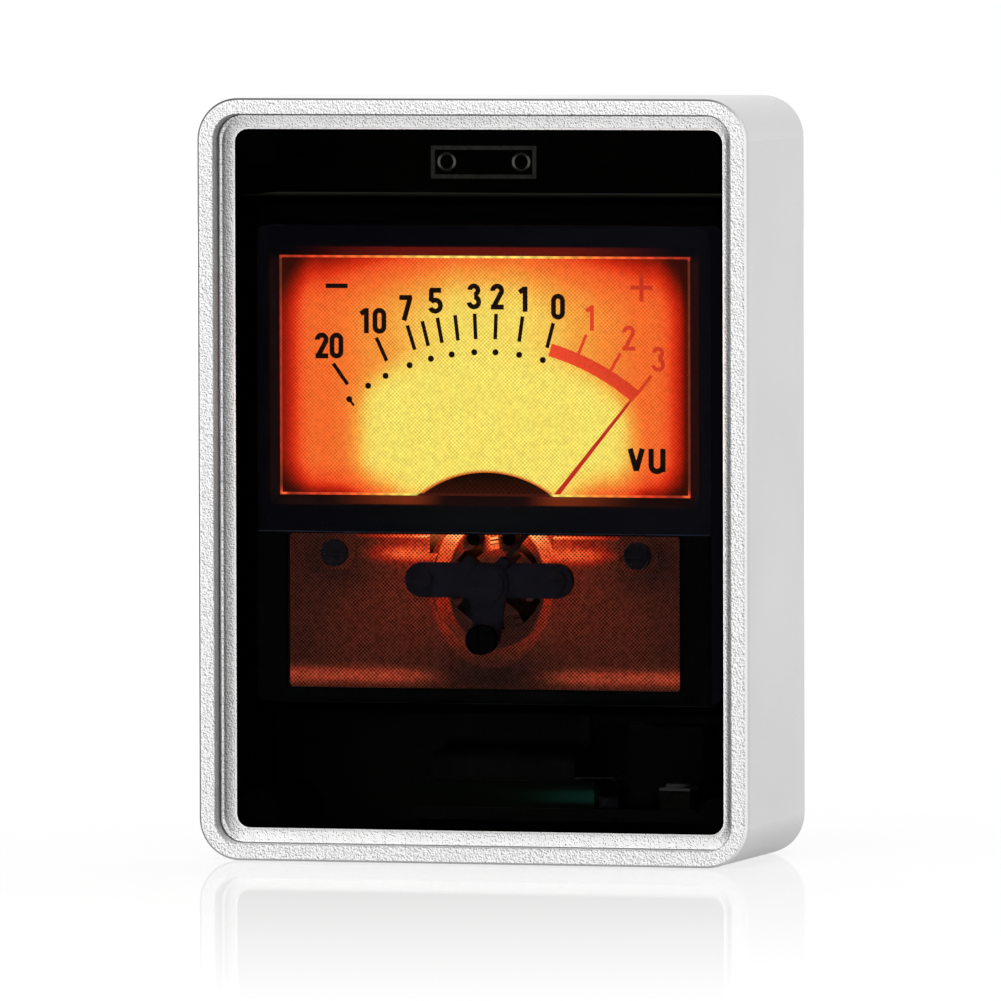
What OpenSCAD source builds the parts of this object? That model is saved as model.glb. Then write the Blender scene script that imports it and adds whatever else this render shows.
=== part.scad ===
// Desktop analogue level meter in a silver aluminium case.
// Millimetres. Origin at the bottom centre of the case, +Z up, the front faces -Y.

/* [Case] */
// outside width
case_w = 74.4; // [72:0.2:80]
// outside height
case_h = 100; // [98:0.5:108]
// outside depth
case_d = 30; // [29.6:0.1:33]
// outside corner radius
corner_r = 5.5; // [4.8:0.1:6.2]
// width of the bright front rim
rim_w = 2.2; // [2:0.1:2.5]
// width of the ledge that carries the glass
ledge_w = 1.9; // [1.6:0.1:2.2]
// thickness of that ledge
ledge_t = 1.5; // [1.3:0.1:1.7]
// wall of the tube behind the ledge
wall = 2.2; // [2:0.1:2.4]
// edge break on the outside edges
edge_c = 0.3; // [0.15:0.05:0.45]
// radius of the screw bosses in the corners
boss_r = 3.3; // [3:0.1:3.5]

/* [Glass and rear cover] */
// depth of the glass below the rim
glass_drop = 2; // [1.7:0.1:2.2]
// thickness of the glass
glass_t = 1.95; // [1.75:0.05:2.2]
// adhesive bed between the glass and its ledge
glass_bed = 0.05; // [0.03:0.01:0.1]
// gap round the glass
glass_gap = 0.12; // [0.08:0.01:0.2]
// thickness of the rear cover
cover_t = 2; // [1.8:0.1:2.2]
// gap round the rear cover
cover_gap = 0.12; // [0.08:0.01:0.2]

/* [Screws] */
// shank radius of the case screws
screw_r = 1; // [0.9:0.05:1.1]
// radial clearance of a screw in its hole
screw_gap = 0.05; // [0.03:0.01:0.1]
// head radius of the case screws
head_r = 2.1; // [1.9:0.1:2.3]

/* [Meter housing] */
// gap between the meter and the tube wall
meter_gap = 1; // [0.7:0.1:1.3]
// space below the meter
under_h = 19.5; // [19.2:0.1:22]
// space above the meter
over_h = 12.8; // [11:0.1:14]
// thickness of the clear front
lens_t = 1.1; // [1:0.05:1.3]
// wall of the clear skirt
lens_wall = 1.1; // [1:0.05:1.3]
// wall of the black base
base_wall = 2; // [1.8:0.1:2.3]
// clearance between skirt and base lip
lip_gap = 0.1; // [0.05:0.01:0.2]

/* [Mask and dial] */
// thickness of the mask
mask_t = 0.5; // [0.4:0.05:0.7]
// width of the bevel round the dial opening
mask_bevel = 1.2; // [0.9:0.1:1.5]
// thickness of the dial
dial_t = 0.5; // [0.4:0.05:0.7]
// radius of the half round cut in the dial
dial_cut_r = 14.8; // [13.5:0.1:15.5]

/* [Movement] */
// height of the pivot above the bottom of the meter
pivot_up = 16.6; // [16:0.1:17]
// angle of the needle in the photographed pose
needle_angle = 39; // [30:0.5:40]
// reach of the needle from the pivot
needle_r = 31.4; // [29:0.1:32]
// thickness of the needle
needle_t = 0.25; // [0.2:0.05:0.3]
// free space on both sides of the needle
needle_gap = 0.22; // [0.2:0.01:0.3]
// radius of the magnet core
core_r = 4.4; // [4.1:0.1:4.5]
// inner radius of the iron yoke
yoke_in_r = 6.3; // [6.2:0.1:6.6]
// outer radius of the iron yoke
yoke_out_r = 9.6; // [9.2:0.1:10]
// half distance between the two bridge screws
bridge_x = 9.1; // [8.9:0.1:9.5]
// half height of the front bridge
bridge_r = 2.3; // [2.1:0.1:2.4]
// radius of the pivot tips
tip_r = 0.4; // [0.35:0.01:0.45]
// radial clearance of a turning fit
run_gap = 0.06; // [0.04:0.01:0.09]

/* [Zero corrector] */
// distance from the pivot down to the corrector screw
zero_drop = 7; // [6.8:0.1:7.4]
// offset of the crank pin
zero_off = 0.8; // [0.6:0.05:0.9]
// radius of the crank pin
pin_r = 0.45; // [0.4:0.01:0.5]
// side clearance of the pin in the fork
pin_gap = 0.14; // [0.12:0.01:0.18]

/* [Boards and sockets] */
// thickness of both boards
board_t = 1.6; // [1.4:0.1:1.8]
// height of the underside of the input board
io_z = 5; // [4.7:0.1:5.3]
// radius of the audio jack bore
jack_r = 1.8; // [1.76:0.01:1.85]
// radius of the control shaft
shaft_r = 3; // [2.8:0.1:3.1]

/* [Hidden] */
$fn = 48;
// depths are measured from the front rim plane
glass_back = glass_drop + glass_t;
ledge_front = glass_back + glass_bed;
ledge_back = ledge_front + ledge_t;
lens_in = ledge_back + lens_t;
mask_front = lens_in + 0.3;
mask_back = mask_front + mask_t;
needle_front = mask_back + needle_gap;
needle_back = needle_front + needle_t;
dial_front = needle_back + needle_gap;
dial_back = dial_front + dial_t;
lever_front = dial_front + 0.25;
lever_back = lever_front + 0.5;
bridge_front = lever_back + 0.35;
bridge_back = bridge_front + 1;
glow_front = bridge_back + 0.2;
glow_back = glow_front + 0.5;
hub_front = bridge_back + 1.1;
hub_back = hub_front + 0.6;
// movement, board gap and bay share the depth that is left behind the hub
cover_front = case_d - cover_t;
rest_d = cover_front - hub_back - board_t;
step = 0.0689 * rest_d;
bay = 0.242 * rest_d;
coil_front = hub_back;
former_front = coil_front + 0.5 * step;
core_front = former_front + 0.8 * step;
core_l = 4.2 * step;
core_back = core_front + core_l;
yoke_front = core_front - 0.2 * step;
yoke_back = core_back + 0.2 * step;
former_back = core_back + 0.8 * step;
coil_back = former_back + 0.5 * step;
rear_front = coil_back + 0.6 * step;
rear_back = rear_front + 0.8 * step;
floor_front = rear_back + 0.8 * step;
base_back = floor_front + step;
board_back = cover_front - bay;
board_front = board_back - board_t;
seam = ledge_back + 8;
lip_front = seam - 1.2;
// outlines
cavity_r = corner_r - wall;
window_r = corner_r - rim_w - ledge_w + 0.4;
boss_x = case_w / 2 - wall - boss_r;
boss_top = case_h - wall - boss_r;
boss_low = wall + boss_r;
boss_front = ledge_back + 2.5;
meter_w = case_w - 2 * wall - 2 * meter_gap;
meter_h = case_h - under_h - over_h;
meter_z = under_h + meter_h / 2;
meter_r = 1.6;
pivot_z = under_h + pivot_up;
mask_w = meter_w - 6.4;
mask_low = under_h + 1.3;
mask_top = under_h + meter_h - 4;
open_w = mask_w - 3.4;
open_low = pivot_z + 10.55;
open_top = mask_top - 2.7;
low_w = mask_w - 8.4;
low_bottom = under_h + 3.1;
low_top = pivot_z + 6.7;
lip_in = lens_wall + lip_gap;
lip_out = (meter_w - mask_w) / 2 + 0.5;
// small parts
bar_up = 0.6;
boss_hub_r = 1.94;
jewel_r = 1;
post_up = 4.1;
foot_x = bridge_x + 4.3;
lamp_up = 17.4;
lamp_back = yoke_front + 2.5;
term_up = 34;
zero_z = pivot_z - zero_drop;
coil_r = yoke_in_r - 0.45;
form_r = coil_r - 0.65;
io_top = io_z + board_t;
// places across the case follow its width, places along the input board its depth
wide = case_w / 74.4;
io_front = 0.45 * case_d;
io_left = -12.5 * wide;
io_right = 27 * wide;
io_screw_x = [-9.5 * wide, 13 * wide];
io_screw_y = io_front + 5 - case_d / 2;
header_l = 25.4 * wide;
header_x = -12.4 * wide;
jack_x = -3 * wide;
jack_z = io_top + 3;
jack_front = io_front + 3;
usb_x = 9 * wide;
usb_z = io_top + 1.65;
pot_x = 21 * wide;
pot_z = io_top + 5.5;
pot_l = 0.2 * case_d;
coil_x = 23.6 * wide;
mic_x = -22 * wide;
mic_z = under_h + 11;
post_x = 20.6 * wide;
term_x = 15 * wide;
// countersunk hole and its screw, turned about the same axis from the front of the cover
sink_h = cover_t - 0.8;
sink_low = cover_t - sink_h - 0.15;
sink_profile = [[0, -1], [screw_r + 0.3, -1], [screw_r + 0.3, sink_low + 0.2 * sink_h / (head_r - screw_r)],
  [head_r + 0.1, cover_t - 0.15], [head_r + 0.1, cover_t + 1], [0, cover_t + 1]];
screw_profile = [[0, -0.72 * bay], [screw_r, -0.72 * bay], [screw_r, sink_low], [head_r, cover_t - 0.15],
  [0, cover_t - 0.15]];

// Helpers

// local x to the right, local y up, local z into the depth
module at_depth(d) {
  translate([0, d - case_d / 2, 0]) rotate([90, 0, 0]) mirror([0, 0, 1]) children();
}

module plate(d, t) {
  at_depth(d) linear_extrude(t) children();
}

module rod(x, z, d, len, r) {
  at_depth(d) translate([x, z, 0]) cylinder(h = len, r = r);
}

module rrect(w, h, r) {
  square([w - 2 * r, h], center = true);
  square([w, h - 2 * r], center = true);
  for (i = [-1, 1], j = [-1, 1])
    translate([i * (w / 2 - r), j * (h / 2 - r)]) circle(r);
}

module case_outline(inset, r) {
  translate([0, case_h / 2]) rrect(case_w - 2 * inset, case_h - 2 * inset, r);
}

module meter_outline(inset) {
  translate([0, meter_z]) rrect(meter_w - 2 * inset, meter_h - 2 * inset, max(0.3, meter_r - inset));
}

module span(w, low, top, r) {
  translate([0, (low + top) / 2]) rrect(w, top - low, r);
}

// half profile of a slab with broken edges at both faces
function rim_profile(r, t, ca, cb) = concat(
  [[0, 0]],
  ca > 0 ? [[r - ca, 0], [r, ca]] : [[r, 0]],
  cb > 0 ? [[r, t - cb], [r - cb, t]] : [[r, t]],
  [[0, t]]);

function both_sides(p) = concat(p, [for (i = [len(p) - 1:-1:0]) if (p[i][0] > 0) [-p[i][0], p[i][1]]]);

// rounded slab with exact edge breaks, built from turned corners and two prisms
module soft_slab(w, h, t, r, ca, cb) {
  translate([0, (h - 2 * r) / 2, 0]) rotate([90, 0, 0])
    linear_extrude(h - 2 * r) polygon(both_sides(rim_profile(w / 2, t, ca, cb)));
  translate([-(w - 2 * r) / 2, 0, 0]) rotate([90, 0, 90])
    linear_extrude(w - 2 * r) polygon(both_sides(rim_profile(h / 2, t, ca, cb)));
  for (i = [-1, 1], j = [-1, 1])
    translate([i * (w / 2 - r), j * (h / 2 - r), 0])
      rotate_extrude() polygon(rim_profile(r, t, ca, cb));
}

// about the pivot, turned clockwise as seen from the front
module swing(a) {
  translate([0, pivot_z, 0]) rotate([0, 0, -a]) children();
}

// Case

module corner_boss(x, z, sx, sz, back) {
  plate(boss_front, back - boss_front) intersection() {
    case_outline(wall / 2, corner_r - wall / 2);
    union() {
      translate([x, z]) circle(boss_r);
      translate([x + sx * 2.2, z + sz * 2.2]) square(4.4, center = true);
    }
  }
}

module case_shell() color("Silver") difference() {
  union() {
    difference() {
      at_depth(0) translate([0, case_h / 2, 0])
        soft_slab(case_w, case_h, case_d, corner_r, edge_c, edge_c);
      plate(-1, ledge_front + 1) case_outline(rim_w, corner_r - rim_w);
      plate(ledge_front - 1, ledge_back) case_outline(rim_w + ledge_w, window_r);
      at_depth(ledge_front - 0.5) translate([0, case_h / 2, 0])
        soft_slab(case_w - 2 * (rim_w + ledge_w) + 0.6, case_h - 2 * (rim_w + ledge_w) + 0.6,
          0.8, window_r + 0.3, 0, 0.3);
      plate(ledge_back, case_d) case_outline(wall, cavity_r);
    }
    corner_boss(boss_x, boss_top, 1, 1, board_front);
    corner_boss(-boss_x, boss_top, -1, 1, board_front);
    corner_boss(boss_x, boss_low, 1, -1, cover_front);
    corner_boss(-boss_x, boss_low, -1, -1, cover_front);
    for (x = io_screw_x)
      translate([x, io_screw_y, wall - 0.5]) cylinder(h = io_z - wall + 0.5, r = 2.4);
  }
  for (x = [-boss_x, boss_x]) {
    rod(x, boss_low, cover_front - 5, 6, screw_r + screw_gap);
    rod(x, boss_top, board_front - 4.2, 5.2, screw_r + screw_gap);
  }
  for (x = io_screw_x)
    translate([x, io_screw_y, wall - 0.6]) cylinder(h = io_z, r = screw_r + screw_gap);
}

module front_glass() color("LightCyan", 0.4) at_depth(glass_drop) translate([0, case_h / 2, 0])
  soft_slab(case_w - 2 * (rim_w + glass_gap), case_h - 2 * (rim_w + glass_gap), glass_t,
    corner_r - rim_w - glass_gap, 0.25, 0);

module rear_cover() color("Gainsboro") difference() {
  at_depth(cover_front) translate([0, case_h / 2, 0])
    soft_slab(case_w - 2 * (wall + cover_gap), case_h - 2 * (wall + cover_gap), cover_t,
      cavity_r - cover_gap, 0, 0.2);
  for (x = [-boss_x, boss_x], z = [boss_low, boss_top])
    at_depth(cover_front) translate([x, z, 0]) rotate_extrude() polygon(sink_profile);
  rod(jack_x, jack_z, cover_front - 1, cover_t + 2, jack_r + 1.2);
  rod(pot_x, pot_z, cover_front - 1, cover_t + 2, shaft_r + 0.6);
  rod(mic_x, mic_z, cover_front - 1, cover_t + 2, 0.8);
  plate(cover_front - 1, cover_t + 2) translate([usb_x, usb_z]) rrect(9.3, 3.6, 1.75);
}

module cover_screws() color("DimGray") for (x = [-boss_x, boss_x], z = [boss_low, boss_top])
  difference() {
    at_depth(cover_front) translate([x, z, 0]) rotate_extrude() polygon(screw_profile);
    at_depth(case_d - 0.65) translate([x - 0.2, z - 1.3, 0]) cube([0.4, 2.6, 1]);
    at_depth(case_d - 0.65) translate([x - 1.3, z - 0.2, 0]) cube([2.6, 0.4, 1]);
  }

// Boards and sockets

module standoffs() color("Goldenrod") for (x = [-boss_x, boss_x]) difference() {
  union() {
    at_depth(board_back) translate([x, boss_top, 0]) cylinder(h = bay, r = 2.5, $fn = 6);
    rod(x, boss_top, board_front - 3.4, board_t + 3.6, screw_r);
  }
  rod(x, boss_top, board_back + 0.15 * bay, bay, screw_r + screw_gap);
}

module main_board() color("DarkOliveGreen") plate(board_front, board_t) difference() {
  translate([0, (under_h - 1.9 + case_h - wall - 0.6) / 2])
    rrect(case_w - 2 * wall - 1.2, case_h - wall - 0.6 - under_h + 1.9, 2.4);
  for (x = [-boss_x, boss_x]) translate([x, boss_top]) circle(screw_r + 0.2);
  for (x = [-term_x, term_x]) translate([x, pivot_z + term_up]) circle(1.75);
}

module driver_chip() color("DimGray") {
  plate(board_back + 0.15, 1.5) translate([12 * wide, pivot_z + 6]) square([8.7, 3.9], center = true);
  for (i = [-3:3], s = [-1, 1])
    plate(board_back, 0.6) translate([12 * wide + i * 1.27, pivot_z + 6 + s * 2.4]) square([0.42, 1.2], center = true);
}

module capacitors() color("LightGray") for (p = [[-12, 5], [-12, 14], [14, 17]]) {
  plate(board_back, 0.6) translate([p[0] * wide, pivot_z + p[1]]) square(4.4, center = true);
  rod(p[0] * wide, pivot_z + p[1], board_back + 0.5, 0.7 * bay, 2);
}

module microphone() color("SlateGray") difference() {
  rod(mic_x, mic_z, board_back, bay, 3);
  rod(mic_x, mic_z, cover_front - 0.8, 1, 0.8);
}

module io_board() color("SeaGreen") difference() {
  translate([io_left, io_front - case_d / 2, io_z]) cube([io_right - io_left, cover_front - 0.4 - io_front, board_t]);
  for (x = io_screw_x)
    translate([x, io_screw_y, io_z - 1]) cylinder(h = board_t + 2, r = screw_r + 0.2);
}

module io_screws() color("Silver") for (x = io_screw_x) difference() {
  union() {
    translate([x, io_screw_y, io_top]) cylinder(h = 1.2, r = 1.9);
    translate([x, io_screw_y, wall - 0.4]) cylinder(h = io_top - wall + 0.9, r = screw_r);
  }
  translate([x - 1.2, io_screw_y - 0.2, io_top + 0.7]) cube([2.4, 0.4, 1]);
}

module link_header() color("ForestGreen") difference() {
  translate([header_x, io_front + 0.2 - case_d / 2, io_top]) cube([header_l, 2.4, 3.6]);
  for (i = [0:9])
    translate([header_x + (i + 0.5) * header_l / 10, io_front + 1.4 - case_d / 2, io_top + 2.4]) cylinder(h = 3, r = 0.45);
}

function arc(x, y, r, from, to) = [for (i = [0:8]) let (a = from + (to - from) * i / 8) [x + r * cos(a), y + r * sin(a)]];

// flat cable from the header up to the main board
module link_ribbon() color("Black") {
  top = io_top + 3.6;
  mid = top + 3.8;
  rise = io_front + 1.2;
  turn = board_front - 1.7;
  translate([header_x + 3, -case_d / 2, 0]) rotate([90, 0, 90]) linear_extrude(header_l - 6) polygon(concat(
    [[rise, top]], arc(rise + 1.7, mid - 1.7, 1.7, 180, 90), arc(turn, mid + 1.3, 1.3, 270, 360),
    [[board_front - 0.4, under_h - 0.3], [board_front, under_h - 0.3]],
    arc(turn, mid + 1.3, 1.7, 360, 270), arc(rise + 1.7, mid - 1.7, 1.3, 90, 180), [[rise + 0.4, top]]));
}

module inductor() color("DimGray") {
  translate([coil_x - 2.1, io_front + 1.4 - case_d / 2, io_top]) cube([4.2, 4, 2.8]);
  translate([coil_x, io_front + 3.4 - case_d / 2, io_top + 2.7]) cylinder(h = 0.6, r = 1.6);
}

module usb_shell() color("Silver") difference() {
  plate(case_d - 7.4, 7.3) translate([usb_x, usb_z]) rrect(8.94, 3.26, 1.62);
  plate(case_d - 6.9, 8) translate([usb_x, usb_z]) rrect(8.34, 2.66, 1.32);
}

module usb_tongue() color("Black")
  plate(case_d - 6.9, 5) translate([usb_x, usb_z]) square([6.7, 0.7], center = true);

module jack_socket() color("DimGray") difference() {
  union() {
    translate([jack_x - 3.2, jack_front - case_d / 2, io_top]) cube([6.4, cover_front - 0.4 - jack_front, 6]);
    rod(jack_x, jack_z, cover_front - 1, cover_t + 0.9, jack_r + 1.1);
  }
  rod(jack_x, jack_z, jack_front + 0.4, case_d - jack_front, jack_r);
}

module pot_body() color("SteelBlue") difference() {
  union() {
    translate([pot_x - 5, cover_front - 1.4 - pot_l - case_d / 2, io_top]) cube([10, pot_l, 10.5]);
    rod(pot_x, pot_z, cover_front - 2, cover_t + 1.6, shaft_r + 0.5);
  }
  rod(pot_x, pot_z, cover_front - 5, 9, shaft_r + run_gap);
}

module pot_shaft() color("WhiteSmoke") difference() {
  rod(pot_x, pot_z, cover_front - 4.9, cover_t + 4.4, shaft_r);
  at_depth(case_d - 1.7) translate([pot_x - 0.5, pot_z - shaft_r - 1, 0]) cube([1, shaft_r * 2 + 2, 3]);
}

// Meter housing

module meter_lens() color("Azure", 0.35) difference() {
  at_depth(ledge_back) translate([0, meter_z, 0])
    soft_slab(meter_w, meter_h, seam - ledge_back, meter_r, 0.3, 0);
  plate(lens_in, seam) meter_outline(lens_wall);
  rod(0, zero_z, ledge_back - 1, lens_t + 2, 1.2 + run_gap);
}

module meter_base() color("DarkSlateGray") difference() {
  union() {
    difference() {
      plate(seam, base_back - seam) meter_outline(0);
      plate(seam - 1, floor_front - seam + 1) meter_outline(base_wall);
    }
    plate(lip_front, 2.2) difference() {
      meter_outline(lip_in);
      meter_outline(lip_out);
    }
    for (s = [-1, 1]) {
      rod(s * post_x, pivot_z + post_up, dial_back, floor_front - dial_back + 0.3, 2.2);
      rod(s * (post_x + 1.8), low_bottom + 3, glow_back, floor_front - glow_back + 0.3, 1.8);
      rod(s * foot_x, pivot_z, rear_back, floor_front - rear_back + 0.3, 2.2);
      rod(s * 11, pivot_z + lamp_up, lamp_back, floor_front - lamp_back + 0.3, 1.7);
      rod(s * term_x, pivot_z + term_up, base_back - 0.3, board_front - base_back + 0.3, 4);
    }
  }
  for (s = [-1, 1]) {
    rod(s * post_x, pivot_z + post_up, dial_back - 1, 6, 0.9 + screw_gap);
    rod(s * foot_x, pivot_z, rear_back - 1, 2.2, 0.9 + screw_gap);
    rod(s * term_x, pivot_z + term_up, floor_front - 1, 4, 1.55);
    rod(s * 4, pivot_z + lamp_up, floor_front - 1, 4, 0.5);
  }
}

// frustum that opens toward the front, from two crossed prisms
module dial_opening() {
  x0 = open_w / 2;
  x1 = open_w / 2 - mask_bevel;
  y0 = mask_front - case_d / 2;
  y1 = mask_back - case_d / 2;
  intersection() {
    translate([0, 0, open_low - 2]) linear_extrude(open_top - open_low + 4)
      polygon([[-x0, y0 - 1], [x0, y0 - 1], [x0, y0], [x1, y1], [x1, y1 + 1], [-x1, y1 + 1], [-x1, y1], [-x0, y0]]);
    translate([-x0 - 2, 0, 0]) rotate([90, 0, 90]) linear_extrude(2 * x0 + 4)
      polygon([[y0 - 1, open_low], [y0, open_low], [y1, open_low + mask_bevel], [y1 + 1, open_low + mask_bevel],
        [y1 + 1, open_top - mask_bevel], [y1, open_top - mask_bevel], [y0, open_top], [y0 - 1, open_top]]);
  }
}

module meter_mask() color("Black") difference() {
  union() {
    plate(mask_front, mask_t) span(mask_w, mask_low, mask_top, 1);
    plate(mask_front, lip_front - mask_front) difference() {
      span(mask_w, mask_low, mask_top, 1);
      span(mask_w - 1.6, mask_low + 0.8, mask_top - 0.8, 0.4);
    }
  }
  dial_opening();
  plate(mask_front - 1, 3) span(low_w, low_bottom, low_top, 0.5);
}

module lower_cover() color("DarkSlateBlue") plate(mask_front - 0.25, 0.25) difference() {
  span(mask_w, mask_low, low_top + 0.3, 0.2);
  span(low_w, low_bottom, low_top, 0.15);
}

module dial_plate() color("Orange") plate(dial_front, dial_t) difference() {
  union() {
    span(mask_w - 2.4, pivot_z + 8, mask_top - 1.2, 0.6);
    for (s = [-1, 1]) translate([s * post_x, pivot_z + post_up + 2]) square([5.2, 8.4], center = true);
  }
  translate([0, pivot_z]) circle(dial_cut_r);
  for (s = [-1, 1]) translate([s * post_x, pivot_z + post_up]) circle(0.9 + screw_gap);
}

module dial_screws() color("DimGray") for (s = [-1, 1]) difference() {
  union() {
    rod(s * post_x, pivot_z + post_up, dial_front - 0.7, 0.7, 1.8);
    rod(s * post_x, pivot_z + post_up, dial_front - 0.2, 5, 0.9);
  }
  at_depth(dial_front - 1) translate([s * post_x - 1.3, pivot_z + post_up - 0.2, 0]) cube([2.6, 0.4, 0.6]);
}

module glow_plate() color("DarkOrange") plate(glow_front, 0.5) difference() {
  span(mask_w - 2.4, mask_low + 1.2, low_top + 1.5, 0.6);
  translate([0, pivot_z]) circle(8.4);
  translate([0, pivot_z + 8]) square([17, 8], center = true);
  for (s = [-1, 1]) translate([s * bridge_x, pivot_z + bar_up]) circle(2.2);
  for (s = [-1, 1]) translate([s * post_x, pivot_z + post_up]) circle(2.25);
}

module lamp_board() color("White") plate(lamp_back - 1, 1)
  translate([0, pivot_z + lamp_up]) rrect(28, 4, 0.5);

module lamp_leds() color("Khaki") for (x = [-9, 0, 9]) {
  plate(lamp_back - 1.9, 0.9) translate([x, pivot_z + lamp_up]) square([3.5, 2.8], center = true);
  rod(x, pivot_z + lamp_up, lamp_back - 2.1, 0.3, 1.1);
}

module lamp_leads() color("Red") for (s = [-1, 1])
  rod(s * 4, pivot_z + lamp_up, lamp_back, board_front - lamp_back, 0.4);

// Movement

module yoke() color("Gray") difference() {
  union() {
    at_depth(yoke_front) translate([0, pivot_z, 0]) cylinder(h = yoke_back - yoke_front, r = yoke_out_r);
    for (s = [-1, 1]) rod(s * bridge_x, pivot_z + bar_up, bridge_back, rear_front - bridge_back, 1.9);
  }
  at_depth(yoke_front - 1) translate([0, pivot_z, 0]) cylinder(h = yoke_back - yoke_front + 2, r = yoke_in_r);
  for (s = [-1, 1]) {
    rod(s * bridge_x, pivot_z + bar_up, bridge_back - 1, 4, 0.8 + screw_gap);
    rod(s * bridge_x, pivot_z + bar_up, rear_front - 3, 4, 0.8 + screw_gap);
  }
}

module core() color("Silver") rod(0, pivot_z, core_front, core_l, core_r);

module core_spacers() color("Goldenrod") for (a = [73, 107, 253, 287])
  at_depth(core_front + 0.3) translate([0, pivot_z, 0]) rotate([0, 0, a - 8]) rotate_extrude(angle = 16)
    translate([core_r + 0.02, 0]) square([yoke_in_r - core_r - 0.04, core_l - 0.6]);

module front_bridge() color("DimGray") difference() {
  union() {
    plate(bridge_front, 1) translate([0, pivot_z + bar_up]) {
      square([2 * bridge_x, 2 * bridge_r], center = true);
      for (s = [-1, 1]) translate([s * bridge_x, 0]) circle(bridge_r);
    }
    rod(0, pivot_z, lever_front - 0.15, bridge_front - lever_front + 0.5, boss_hub_r);
  }
  rod(0, pivot_z, lever_front - 1, 4, jewel_r + 0.02);
  for (s = [-1, 1]) rod(s * bridge_x, pivot_z + bar_up, bridge_front - 1, 3, 0.8 + screw_gap);
}

module rear_bridge() color("DimGray") plate(rear_front, rear_back - rear_front) difference() {
  translate([0, pivot_z]) rrect(2 * foot_x + 5.2, 6.4, 1.2);
  translate([0, pivot_z]) circle(jewel_r + 0.02);
  for (s = [-1, 1]) translate([s * bridge_x, pivot_z + bar_up]) circle(0.8 + screw_gap);
  for (s = [-1, 1]) translate([s * foot_x, pivot_z]) circle(0.9 + screw_gap);
}

module bridge_screws() color("Silver") for (s = [-1, 1]) {
  difference() {
    union() {
      rod(s * bridge_x, pivot_z + bar_up, bridge_front - 0.6, 0.6, 1.4);
      rod(s * bridge_x, pivot_z + bar_up, bridge_front - 0.2, 3.6, 0.8);
    }
    at_depth(bridge_front - 1) translate([s * bridge_x - 1, pivot_z + bar_up - 0.18, 0]) cube([2, 0.36, 0.7]);
  }
  rod(s * bridge_x, pivot_z + bar_up, rear_back, 0.5 * step, 1.4);
  rod(s * bridge_x, pivot_z + bar_up, rear_front - 2.4, 2.7 + 0.8 * step, 0.8);
}

module movement_screws() color("Silver") for (s = [-1, 1]) {
  rod(s * foot_x, pivot_z, rear_front - 0.7, 0.7, 1.6);
  rod(s * foot_x, pivot_z, rear_front - 0.2, 1.2 + 0.8 * step, 0.9);
}

module jewel_screws() color("Goldenrod") {
  difference() {
    union() {
      rod(0, pivot_z, lever_front - 0.65, 0.5, 2.4);
      rod(0, pivot_z, lever_front - 0.3, bridge_back + 0.5 - lever_front + 0.3, jewel_r);
    }
    rod(0, pivot_z, bridge_back - 0.2, 2, tip_r + run_gap);
    at_depth(lever_front - 1) translate([-1.5, pivot_z - 0.2, 0]) cube([3, 0.4, 0.6]);
  }
  difference() {
    rod(0, pivot_z, rear_front - 0.1, 0.35 + 0.8 * step, jewel_r);
    rod(0, pivot_z, rear_front - 1, 1 + 0.6 * step, tip_r + run_gap);
  }
}

// plain discs with their end stud stand in for the flat springs
module hairsprings() color("Peru") {
  at_depth(bridge_back + 0.65) translate([0, pivot_z, 0]) difference() {
    cylinder(h = 0.25, r = 2.6);
    translate([0, 0, -1]) cylinder(h = 3, r = 1.2);
  }
  rod(0, pivot_z + 2.2, bridge_back, 0.8, 0.3);
}

module terminal_studs() color("Goldenrod") for (s = [-1, 1]) {
  rod(s * term_x, pivot_z + term_up, floor_front - 0.8, 0.8, 2.7);
  rod(s * term_x, pivot_z + term_up, floor_front - 0.4, board_back - floor_front + 0.4 + 0.75 * bay, 1.5);
}

module terminal_nuts() color("Gold") for (s = [-1, 1]) difference() {
  at_depth(board_back) translate([s * term_x, pivot_z + term_up, 0]) cylinder(h = 0.6 * bay, r = 3.1, $fn = 6);
  rod(s * term_x, pivot_z + term_up, board_back - 1, 5, 1.5 + screw_gap);
}

// moving coil, cranked arm and needle
module pointer() color("DarkRed") {
  at_depth(hub_front) swing(needle_angle) linear_extrude(0.6) difference() {
    union() {
      circle(1.6);
      translate([-0.55, 0]) square([1.1, 5.4]);
      translate([-0.45, -5.4]) square([0.9, 5.4]);
    }
    circle(0.72);
  }
  at_depth(needle_front) swing(needle_angle) translate([-0.4, 4.8, 0]) cube([0.8, 0.6, hub_back - needle_front]);
  at_depth(needle_front) swing(needle_angle) linear_extrude(needle_t)
    polygon([[-0.4, 4.8], [0.4, 4.8], [0.17, needle_r - 0.6], [0.09, needle_r], [-0.09, needle_r], [-0.17, needle_r - 0.6]]);
}

module balance_weight() color("Goldenrod") at_depth(hub_front - 0.75) swing(needle_angle)
  translate([-1.7, -5.4, 0]) cube([3.4, 2, 0.75]);

module coil_former() color("LightGray") at_depth(former_front) swing(needle_angle) difference() {
  translate([-form_r, -0.9, 0]) cube([2 * form_r, 1.8, former_back - former_front]);
  translate([-form_r + 0.4, -2, 0.4]) cube([2 * form_r - 0.8, 4, former_back - former_front - 0.8]);
}

module coil() color("Chocolate") at_depth(coil_front) swing(needle_angle) difference() {
  translate([-coil_r, -0.8, 0]) cube([2 * coil_r, 1.6, coil_back - coil_front]);
  translate([-form_r, -2, former_front - coil_front]) cube([2 * form_r, 4, former_back - former_front]);
}

module staff() color("Silver") {
  rod(0, pivot_z, bridge_back, 0.8, tip_r);
  rod(0, pivot_z, bridge_back + 0.62, hub_back - bridge_back - 0.62, 0.7);
  rod(0, pivot_z, coil_back, 0.6 * step - 0.2, 0.7);
  rod(0, pivot_z, coil_back + 0.3, 0.95 * step - 0.3, tip_r);
}

// Zero corrector

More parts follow.
